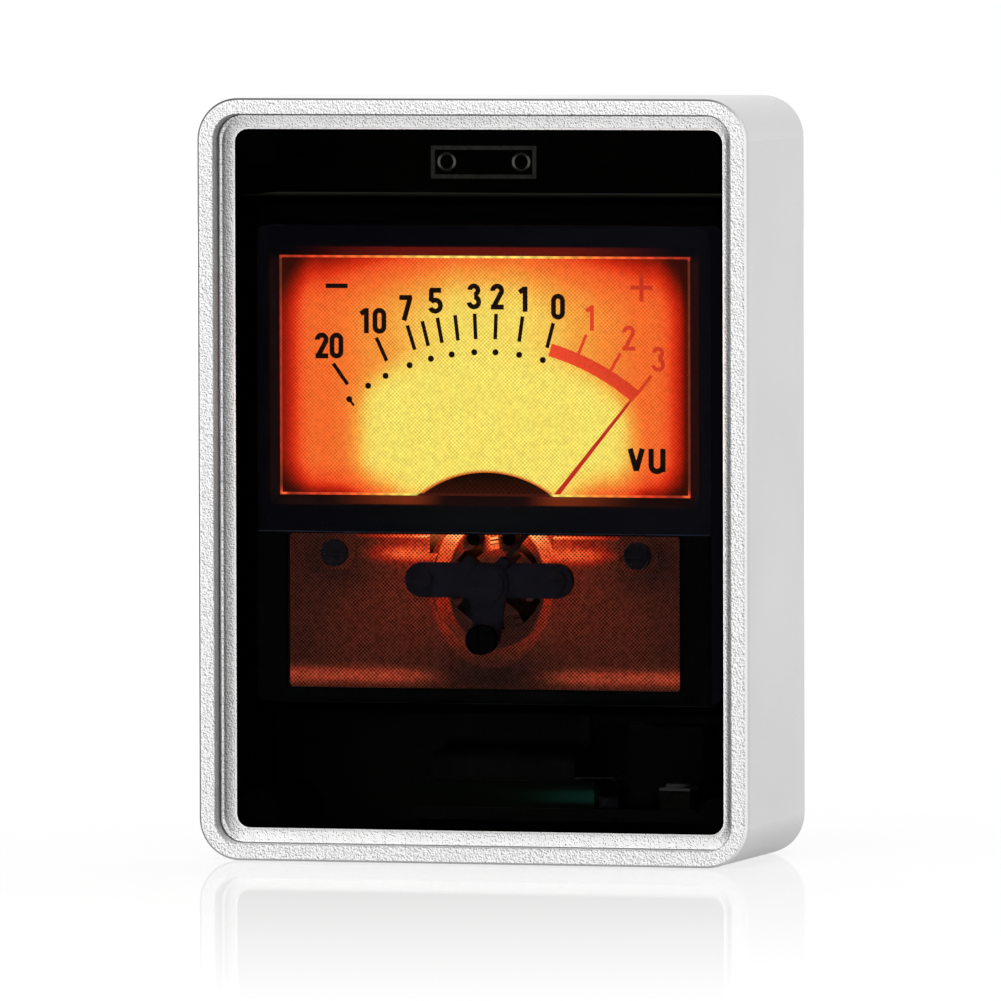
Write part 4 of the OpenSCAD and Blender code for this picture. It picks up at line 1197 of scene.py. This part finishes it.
wears = {
    "caseAluminium": ["case_shell"],
    "coverAluminium": ["rear_cover"],
    "frontGlass": ["front_glass"],
    "clearLens": ["meter_lens"],
    "screwSteel": ["cover_screws"],
    "blackScrew": ["dial_screws", "bridge_screws", "io_screws"],
    "brightSteel": ["movement_screws", "staff"],
    "socketSteel": ["usb_shell"],
    "brass": ["standoffs", "terminal_studs", "terminal_nuts"],
    "shadedBrass": ["balance_weight"],
    "boardBlack": ["main_board"],
    "boardGreen": ["io_board"],
    "lampBoard": ["lamp_board"],
    "chipPlastic": ["driver_chip"],
    "canAluminium": ["capacitors"],
    "microphoneCan": ["microphone"],
    "headerPlastic": ["link_header"],
    "ribbonJacket": ["link_ribbon"],
    "ferrite": ["inductor"],
    "basePlastic": ["meter_base"],
    "adjusterBlack": ["zero_adjuster"],
    "socketPlastic": ["usb_tongue", "jack_socket"],
    "maskBlack": ["meter_mask"],
    "coverFilm": ["lower_cover"],
    "bridgeBlack": ["front_bridge", "rear_bridge", "zero_lever", "jewel_screws"],
    "potPlastic": ["pot_body"],
    "shaftPlastic": ["pot_shaft"],
    "warmIron": ["yoke", "core"],
    "spacerBrown": ["core_spacers"],
    "shadedFormerAluminium": ["coil_former"],
    "wireJacket": ["lamp_leads"],
    "coilCopper": ["coil"],
    "dialGlow": ["dial_plate"],
    "glowPaint": ["glow_plate"],
    "lampLight": ["lamp_leds"],
    "needlePaintGlow": ["pointer"],
    "springBronze": ["hairsprings"],
}
for finishName, wearers in wears.items():
    for nodeName in wearers:
        for place in nodes[nodeName].material_slots:
            place.material = finishes[finishName]
print("nodes dressed:", sum(len(w) for w in wears.values()))


# New pieces

def addPiece(name, mesh, finish, body):
    piece = bpy.data.objects.new(name, mesh)
    bpy.context.scene.collection.objects.link(piece)
    mesh.materials.clear()
    mesh.materials.append(finishes[finish])
    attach(piece, body)
    return piece


def meshFrom(bm, name):
    mesh = bpy.data.meshes.new(name)
    bm.to_mesh(mesh)
    bm.free()
    return mesh


def addSlab(bm, width, height, thickness, centre, turn=0.0):
    # thin plate in the x-z plane, its front at centre.y, turned clockwise seen from the front
    made = bmesh.ops.create_cube(bm, size=1.0)
    scale = Matrix.Diagonal((width, thickness, height, 1))
    spin = Matrix.Rotation(turn, 4, "Y")
    move = Matrix.Translation(Vector(centre) + Vector((0, thickness / 2, 0)))
    bmesh.ops.transform(bm, matrix=move @ spin @ scale, verts=made["verts"])


def addDisc(bm, radius, thickness, centre, segments=24):
    made = bmesh.ops.create_cone(bm, cap_ends=True, segments=segments, radius1=radius, radius2=radius,
                                 depth=thickness)
    lay = Matrix.Rotation(math.pi / 2, 4, "X")
    move = Matrix.Translation(Vector(centre) + Vector((0, thickness / 2, 0)))
    bmesh.ops.transform(bm, matrix=move @ lay, verts=made["verts"])


def addSection(bm, centre, inner, outer, thickness):
    # cross-section of a flat band straight above centre, its front at centre.y
    corners = [(inner, 0), (outer, 0), (outer, thickness), (inner, thickness)]
    verts = [bm.verts.new(Vector(centre) + Vector((0, depth, radius))) for radius, depth in corners]
    return bm.faces.new(verts), verts


def addArcBand(bm, centre, inner, outer, thickness, start, end, steps=40):
    # flat band about centre, swept by spin; angles run clockwise from the top
    face, verts = addSection(bm, centre, inner, outer, thickness)
    bmesh.ops.rotate(bm, verts=verts, cent=centre, matrix=Matrix.Rotation(start, 3, "Y"))
    bmesh.ops.spin(bm, geom=[face] + list(face.edges) + verts, cent=centre, axis=(0, 1, 0),
                   angle=end - start, steps=steps, use_merge=False)
    bmesh.ops.recalc_face_normals(bm, faces=bm.faces[:])


def addRing(bm, centre, inner, outer, thickness, steps=32):
    # flat closed ring about centre
    face, verts = addSection(bm, centre, inner, outer, thickness)
    edges = list(face.edges)
    bmesh.ops.delete(bm, geom=[face], context="FACES_ONLY")
    bmesh.ops.spin(bm, geom=verts + edges, cent=centre, axis=(0, 1, 0), angle=2 * math.pi, steps=steps,
                   use_merge=True)
    bmesh.ops.recalc_face_normals(bm, faces=bm.faces[:])


def addPanel(bm, width, height, centre):
    # one upright face in the x-z plane
    made = bmesh.ops.create_grid(bm, x_segments=1, y_segments=1, size=0.5)
    stand = Matrix.Translation(centre) @ Matrix.Rotation(math.pi / 2, 4, "X")
    fit = stand @ Matrix.Diagonal((width, height, 1, 1))
    bmesh.ops.transform(bm, matrix=fit, verts=made["verts"])


def cutFrame(bm, width, thickness):
    # the face becomes a frame of this width, with its thickness to the back
    ring = bmesh.ops.inset_region(bm, faces=bm.faces[:], thickness=width, use_boundary=True,
                                  use_even_offset=True)
    middle = [face for face in bm.faces if face not in ring["faces"]]
    bmesh.ops.delete(bm, geom=middle, context="FACES")
    bmesh.ops.solidify(bm, geom=bm.faces[:], thickness=-thickness)
    bmesh.ops.recalc_face_normals(bm, faces=bm.faces[:])


def onArc(angle, radius, front):
    return (pivot.x + radius * math.sin(angle), front, pivot.z + radius * math.cos(angle))


# strokes of the upright bold numerals, on a grid where a numeral is 1 high with its middle at 0
# bar: from x, z to x, z; bow: middle x, z, radius, and angles clockwise from the top
numeralStrokes = {
    "0": [("bow", 0, 0.23, 0.185, -90, 90), ("bow", 0, -0.23, 0.185, 90, 270),
          ("bar", -0.185, -0.23, -0.185, 0.23), ("bar", 0.185, -0.23, 0.185, 0.23)],
    "1": [("bar", 0.07, -0.5, 0.07, 0.5), ("bar", -0.17, 0.27, 0.05, 0.42)],
    "2": [("bow", 0, 0.23, 0.185, -92, 122), ("bar", 0.17, 0.17, -0.16, -0.43),
          ("bar", -0.26, -0.415, 0.27, -0.415)],
    "3": [("bow", 0, 0.245, 0.17, -85, 178), ("bow", 0, -0.215, 0.2, 4, 264)],
    "5": [("bar", -0.22, 0.415, 0.24, 0.415), ("bar", -0.155, 0.45, -0.175, -0.02),
          ("bow", -0.005, -0.195, 0.22, -52, 246)],
    "7": [("bar", -0.26, 0.415, 0.27, 0.415), ("bar", 0.19, 0.42, -0.07, -0.5)],
    "V": [("bar", -0.27, 0.5, 0.0, -0.45), ("bar", 0.27, 0.5, 0.0, -0.45)],
    "U": [("bow", 0, -0.21, 0.26, 90, 270), ("bar", -0.26, -0.22, -0.26, 0.5),
          ("bar", 0.26, -0.5, 0.26, 0.5)],
}


def addNumber(bm, word, height, centre, thickness, weight, advance):
    # lettering from straight and bowed strokes, its middle at centre
    middle = Vector(centre)
    first = -(len(word) - 1) / 2 * advance
    for index, sign in enumerate(word):
        shift = first + index * advance
        for stroke in numeralStrokes[sign]:
            if stroke[0] == "bar":
                start = Vector((stroke[1] + shift, 0, stroke[2])) * height
                end = Vector((stroke[3] + shift, 0, stroke[4])) * height
                run = end - start
                halfway = middle + (start + end) / 2
                addSlab(bm, weight, run.length, thickness, halfway, math.atan2(run.x, run.z))
            else:
                hub = middle + Vector((stroke[1] + shift, 0, stroke[2])) * height
                radius = stroke[3] * height
                addArcBand(bm, hub, radius - weight / 2, radius + weight / 2, thickness,
                           math.radians(stroke[4]), math.radians(stroke[5]), 20)


dialPrint = {
    "thickness": 0.02 * mm,
    "tickWidth": 0.5 * mm,
    "redTickWidth": 0.42 * mm,
    "tickFrom": 32.3 * mm,
    "tickTo": 35.65 * mm,
    "blackTicks": [-35.7, -24.7, -17.4, -14.0, -10.6, -6.7, -2.4, 2.3, 8.1, 14.95],
    "redTicks": [22.5, 30.9, 39.1],
    "dotRadius": 0.41 * mm,
    "dotsAt": 30.6 * mm,
    "restMark": (0.3 * mm, 0.9 * mm, 0.6 * mm),  # width, length and way below the first dot
    "dots": [-37.5, -31.6, -26.5, -19.8, -14.1, -8.7, -2.9, 2.5, 8.55, 14.7],
    "band": (31.3 * mm, 33.0 * mm, 15.8, 39.3),
    "numbersAt": 37.9 * mm,
    "numberHeight": 3.3 * mm,
    "blackNumbers": [("20", -34.3), ("10", -24.1), ("7", -16.7), ("5", -10.4), ("3", -2.4), ("2", 2.4),
                     ("1", 7.8), ("0", 15.05)],
    "redNumbers": [("1", 22.0), ("2", 30.8), ("3", 38.1)],
    "advance": 0.61,  # from one numeral to the next, in heights
    "blackWeight": 0.66 * mm,
    "redWeight": 0.52 * mm,
    "minus": (-20.3 * mm, 39.15 * mm, 3.0 * mm, 0.6 * mm),
    "plus": (21.15 * mm, 39.15 * mm, 3.0 * mm, 3.7 * mm, 0.55 * mm),
    "unit": ("VU", 21.8 * mm, 16.6 * mm, 3.05 * mm, 0.72 * mm, 0.92),
}


def makeDialPrint():
    s = dialPrint
    t = s["thickness"]
    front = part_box("dial_plate")[0].y - t
    black = bmesh.new()
    red = bmesh.new()
    length = s["tickTo"] - s["tickFrom"]
    middle = (s["tickTo"] + s["tickFrom"]) / 2
    for target, angles, width in ((black, s["blackTicks"], s["tickWidth"]),
                                  (red, s["redTicks"], s["redTickWidth"])):
        for degrees in angles:
            angle = math.radians(degrees)
            addSlab(target, width, length, t, onArc(angle, middle, front), angle)
    for degrees in s["dots"]:
        addDisc(black, s["dotRadius"], t, onArc(math.radians(degrees), s["dotsAt"], front))
    # the first dot has a short rest mark under it
    rest = math.radians(s["dots"][0])
    width, long, under = s["restMark"]
    addSlab(black, width, long, t, onArc(rest, s["dotsAt"] - under, front), rest)
    for target, words, weight in ((black, s["blackNumbers"], s["blackWeight"]),
                                  (red, s["redNumbers"], s["redWeight"])):
        for word, degrees in words:
            place = onArc(math.radians(degrees), s["numbersAt"], front)
            addNumber(target, word, s["numberHeight"], place, t, weight, s["advance"])
    x, z, width, height = s["minus"]
    addSlab(black, width, height, t, (x, front, pivot.z + z))
    x, z, width, height, bar = s["plus"]
    addSlab(red, width, bar, t, (x, front, pivot.z + z))
    addSlab(red, bar, height, t * 1.05, (x, front - t * 0.05, pivot.z + z))
    word, x, z, height, weight, advance = s["unit"]
    addNumber(black, word, height, (x, front, pivot.z + z), t, weight, advance)
    inner, outer, start, end = s["band"]
    hub = (pivot.x, front - t * 0.1, pivot.z)
    addArcBand(red, hub, inner, outer, t * 1.1, math.radians(start), math.radians(end))
    addPiece("dialMarksBlack", meshFrom(black, "dialMarksBlack"), "blackInk", "case")
    addPiece("dialMarksRed", meshFrom(red, "dialMarksRed"), "redInk", "case")


makeDialPrint()
print("dial printed")


def makeOpeningLip():
    # thin lit edge round the dial opening, behind the mask
    s = openingLip
    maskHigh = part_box("meter_mask")[1]
    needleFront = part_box("pointer")[0].y
    front = needleFront - s["beforeNeedle"] - s["thickness"]
    low = pivot.z + s["low"]
    top = maskHigh.z - s["belowTop"]
    bm = bmesh.new()
    addPanel(bm, 2 * (maskHigh.x - s["inFromSide"]), top - low, (0, front, (low + top) / 2))
    cutFrame(bm, s["width"], s["thickness"])
    addPiece("openingLip", meshFrom(bm, "openingLip"), "lipGlow", "case")


yokeStuds = {
    "angle": 22.0,  # from the top, to either side
    "reach": 6.5 * mm,  # clear of the moving coil and of the bend of the needle
    "radius": 0.92 * mm,
    "length": 2.6 * mm,
    "rounding": 0.12 * mm,
    "segments": 32,
    "near": 1e-6,  # within this, a point lies on the front
    "faceBehindTop": 2.8 * mm,  # from the front of the yoke's posts back to its ring
    "earAcross": 2.3 * mm,
    "earUp": 2.95 * mm,
    "earRadius": 0.9 * mm,
    "earThickness": 0.3 * mm,
}


def makePins(name, finish, centres, radius, length):
    # round pins with their fronts at the centres, and a small rounding there
    s = yokeStuds
    front = centres[0][1]
    bm = bmesh.new()
    for centre in centres:
        addDisc(bm, radius, length, centre, s["segments"])
    rounded = []
    for edge in bm.edges:
        if all(abs(vert.co.y - front) < s["near"] for vert in edge.verts):
            rounded.append(edge)
    bmesh.ops.bevel(bm, geom=rounded, offset=s["rounding"], segments=2, profile=0.5, affect="EDGES",
                    material=-1)
    bmesh.ops.recalc_face_normals(bm, faces=bm.faces[:])
    addPiece(name, meshFrom(bm, name), finish, "case")


def makeYokeStuds():
    # two dark studs on the yoke's ring, and two ears on the front of the bridge under them
    s = yokeStuds
    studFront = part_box("yoke")[0].y + s["faceBehindTop"] - s["length"]
    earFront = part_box("front_bridge")[0].y - s["earThickness"]
    studs = []
    ears = []
    for side in (-1, 1):
        studs.append(onArc(math.radians(side * s["angle"]), s["reach"], studFront))
        ears.append((pivot.x + side * s["earAcross"], earFront, pivot.z + s["earUp"]))
    makePins("yokeStuds", "studBrown", studs, s["radius"], s["length"])
    makePins("bridgeEars", "bridgeBlack", ears, s["earRadius"], s["earThickness"])


def makeBoardPrint():
    s = boardPrint
    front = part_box("main_board")[0].y - s["thickness"]
    bm = bmesh.new()
    midX = (s["left"] + s["right"]) / 2
    midZ = (s["low"] + s["top"]) / 2
    wide = s["right"] - s["left"]
    tall = s["top"] - s["low"]
    for z in (s["low"], s["top"]):
        addSlab(bm, wide + s["line"], s["line"], s["thickness"], (midX, front, z))
    for x in (s["left"], s["right"]):
        addSlab(bm, s["line"], tall - s["line"], s["thickness"], (x, front, midZ))
    addPiece("boardOutline", meshFrom(bm, "boardOutline"), "boardInk", "case")
    tinned = bmesh.new()
    for x, z in s["pads"]:
        addRing(tinned, (x, front, z), s["holeRadius"], s["padRadius"], s["thickness"])
    addPiece("boardPads", meshFrom(tinned, "boardPads"), "padTin", "case")


socketFrame = {
    "width": 0.8 * mm,
    "thickness": 0.35 * mm,
    "fit": 0.01 * mm,
    "corner": 1.62 * mm,
}


def makeSocketFrame():
    # black foam frame on the inside of the rear cover, so that no light leaks in round the USB socket
    s = socketFrame
    shellLow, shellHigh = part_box("usb_shell")
    middle = (shellLow + shellHigh) / 2
    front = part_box("rear_cover")[0].y - s["thickness"]
    grow = s["width"] + s["fit"]
    wide = shellHigh.x - shellLow.x + 2 * grow
    tall = shellHigh.z - shellLow.z + 2 * grow
    bm = bmesh.new()
    addPanel(bm, wide, tall, (middle.x, front, middle.z))
    bmesh.ops.bevel(bm, geom=bm.verts[:], offset=s["corner"] + grow, segments=10, profile=0.5,
                    affect="VERTICES", material=-1)
    cutFrame(bm, s["width"], s["thickness"])
    addPiece("socketFrame", meshFrom(bm, "socketFrame"), "blackPlastic", "case")


makeSocketFrame()
makeBoardPrint()
makeOpeningLip()
makeYokeStuds()
print("board, opening and studs made")


# Floor, lamps and camera

clearMirror = 0.1  # how much of the studio shows as a mirror image in clear sheets


def studioShare(tree):
    # what is seen straight, through clear sheets or mirrored in metal, and the weakening by clear sheets
    path = addNode(tree, "ShaderNodeLightPath").outputs
    indirect = calc(tree, "MAXIMUM", path["Is Glossy Ray"], path["Is Transmission Ray"])
    seen = calc(tree, "MAXIMUM", path["Is Camera Ray"], indirect)
    outside = times(tree, path["Is Singular Ray"], path["Is Reflection Ray"])
    # light that crosses the front glass twice each way may come from the ledge, which keeps its shine
    crossings = path["Transmission Depth"]
    fromLedge = calc(tree, "COMPARE", crossings, 4.0, 0.5)
    within = minus(tree, calc(tree, "MINIMUM", crossings, 1.0), fromLedge)
    mirrored = times(tree, calc(tree, "MINIMUM", path["Glossy Depth"], 1.0),
                     calc(tree, "MAXIMUM", outside, within))
    return seen, oneMinus(tree, times(tree, mirrored, 1 - clearMirror))


floorLook = {
    "size": 6.0,
    "mirror": 0.27,
    "mirrorReach": 0.34,
    "mirrorRough": 0.03,
    "own": 0.76,  # the part of the white that keeps its level in the shadow
    "ownReach": (0.9, 0.25),
    "matt": 0.5,
}


def makeFloor():
    # white table that mirrors a little near the object
    s = floorLook
    bm = bmesh.new()
    bmesh.ops.create_grid(bm, x_segments=2, y_segments=2, size=s["size"] / 2)
    mesh = meshFrom(bm, "floor")
    floor = bpy.data.objects.new("floor", mesh)
    bpy.context.scene.collection.objects.link(floor)
    material = bpy.data.materials.new("floorWhite")
    material.use_nodes = True
    tree = material.node_tree
    tree.nodes.clear()
    place = addNode(tree, "ShaderNodeTexCoord").outputs["Object"]
    x, y, z = axes(tree, place)
    reach = radiusAbout(tree, x, y, 0.0, 0.0)
    seen, weakened = studioShare(tree)
    own = oneMinus(tree, times(tree, fade(tree, reach, *s["ownReach"]), 1 - s["own"]))
    bright = addNode(tree, "ShaderNodeEmission")
    tree.links.new(times(tree, times(tree, own, seen), weakened), bright.inputs["Strength"])
    matt = addNode(tree, "ShaderNodeBsdfDiffuse")
    tree.links.new(times(tree, weakened, s["matt"]), matt.inputs["Color"])
    white = addNode(tree, "ShaderNodeAddShader")
    tree.links.new(bright.outputs[0], white.inputs[0])
    tree.links.new(matt.outputs[0], white.inputs[1])
    shine = addNode(tree, "ShaderNodeBsdfGlossy")
    shine.inputs["Roughness"].default_value = s["mirrorRough"]
    mirror = times(tree, fade(tree, reach, s["mirrorReach"], 0.0), s["mirror"])
    both = addNode(tree, "ShaderNodeMixShader")
    tree.links.new(mirror, both.inputs[0])
    tree.links.new(white.outputs[0], both.inputs[1])
    tree.links.new(shine.outputs[0], both.inputs[2])
    out = addNode(tree, "ShaderNodeOutputMaterial")
    tree.links.new(both.outputs[0], out.inputs["Surface"])
    mesh.materials.append(material)


worldLight = {
    "unseen": 0.35,  # strength for what the camera doesn't see
    "seen": 1.0,
}


def makeWorld():
    s = worldLight
    world = bpy.data.worlds.new("studio")
    bpy.context.scene.world = world
    world.use_nodes = True
    tree = world.node_tree
    back = tree.nodes["Background"]
    back.inputs["Color"].default_value = (1, 1, 1, 1)
    seen, weakened = studioShare(tree)
    strength = plus(tree, s["unseen"], times(tree, seen, s["seen"] - s["unseen"]))
    tree.links.new(times(tree, strength, weakened), back.inputs["Strength"])


lamps = [
    {"name": "topBox", "at": (0.0, -0.1, 1.1), "aim": (0, 0, 0.05), "size": 0.9, "power": 3.2},
    {"name": "frontBox", "at": (-0.5, -1.3, 0.7), "aim": (0, 0, 0.05), "size": 0.8, "power": 1.0},
    {"name": "sideBox", "at": (1.3, -0.2, 0.5), "aim": (0, 0, 0.05), "size": 0.8, "power": 0.8},
]


def makeLamps():
    for s in lamps:
        data = bpy.data.lights.new(s["name"], "AREA")
        data.shape = "SQUARE"
        data.size = s["size"]
        data.energy = s["power"]
        lamp = bpy.data.objects.new(s["name"], data)
        lamp.location = s["at"]
        lamp.rotation_mode = "QUATERNION"
        lamp.rotation_quaternion = (Vector(s["aim"]) - Vector(s["at"])).to_track_quat("-Z", "Y")
        bpy.context.scene.collection.objects.link(lamp)


cameraView = {
    "target": (0.0, 0.0, 0.05),
    "azimuth": 15.77,
    "elevation": 2.50,
    "roll": -0.15,
    "distance": 1.9467,
    "lens": 532.7,
    "shift": (-0.0015, -0.0235),
}


def makeCamera():
    s = cameraView
    azimuth = math.radians(s["azimuth"])
    elevation = math.radians(s["elevation"])
    back = Vector((math.sin(azimuth) * math.cos(elevation), -math.cos(azimuth) * math.cos(elevation),
                   math.sin(elevation)))
    data = bpy.data.cameras.new("photoView")
    data.lens = s["lens"]
    data.sensor_width = 36.0
    data.shift_x, data.shift_y = s["shift"]
    data.clip_end = 30.0
    camera = bpy.data.objects.new("photoView", data)
    camera.location = Vector(s["target"]) + back * s["distance"]
    camera.rotation_mode = "QUATERNION"
    aim = (-back).to_track_quat("-Z", "Y")
    camera.rotation_quaternion = aim @ Matrix.Rotation(math.radians(s["roll"]), 4, "Z").to_quaternion()
    bpy.context.scene.collection.objects.link(camera)
    bpy.context.scene.camera = camera


makeFloor()
makeWorld()
makeLamps()
makeCamera()
bpy.context.scene.view_settings.view_transform = "Standard"
print("floor, lamps and camera set")
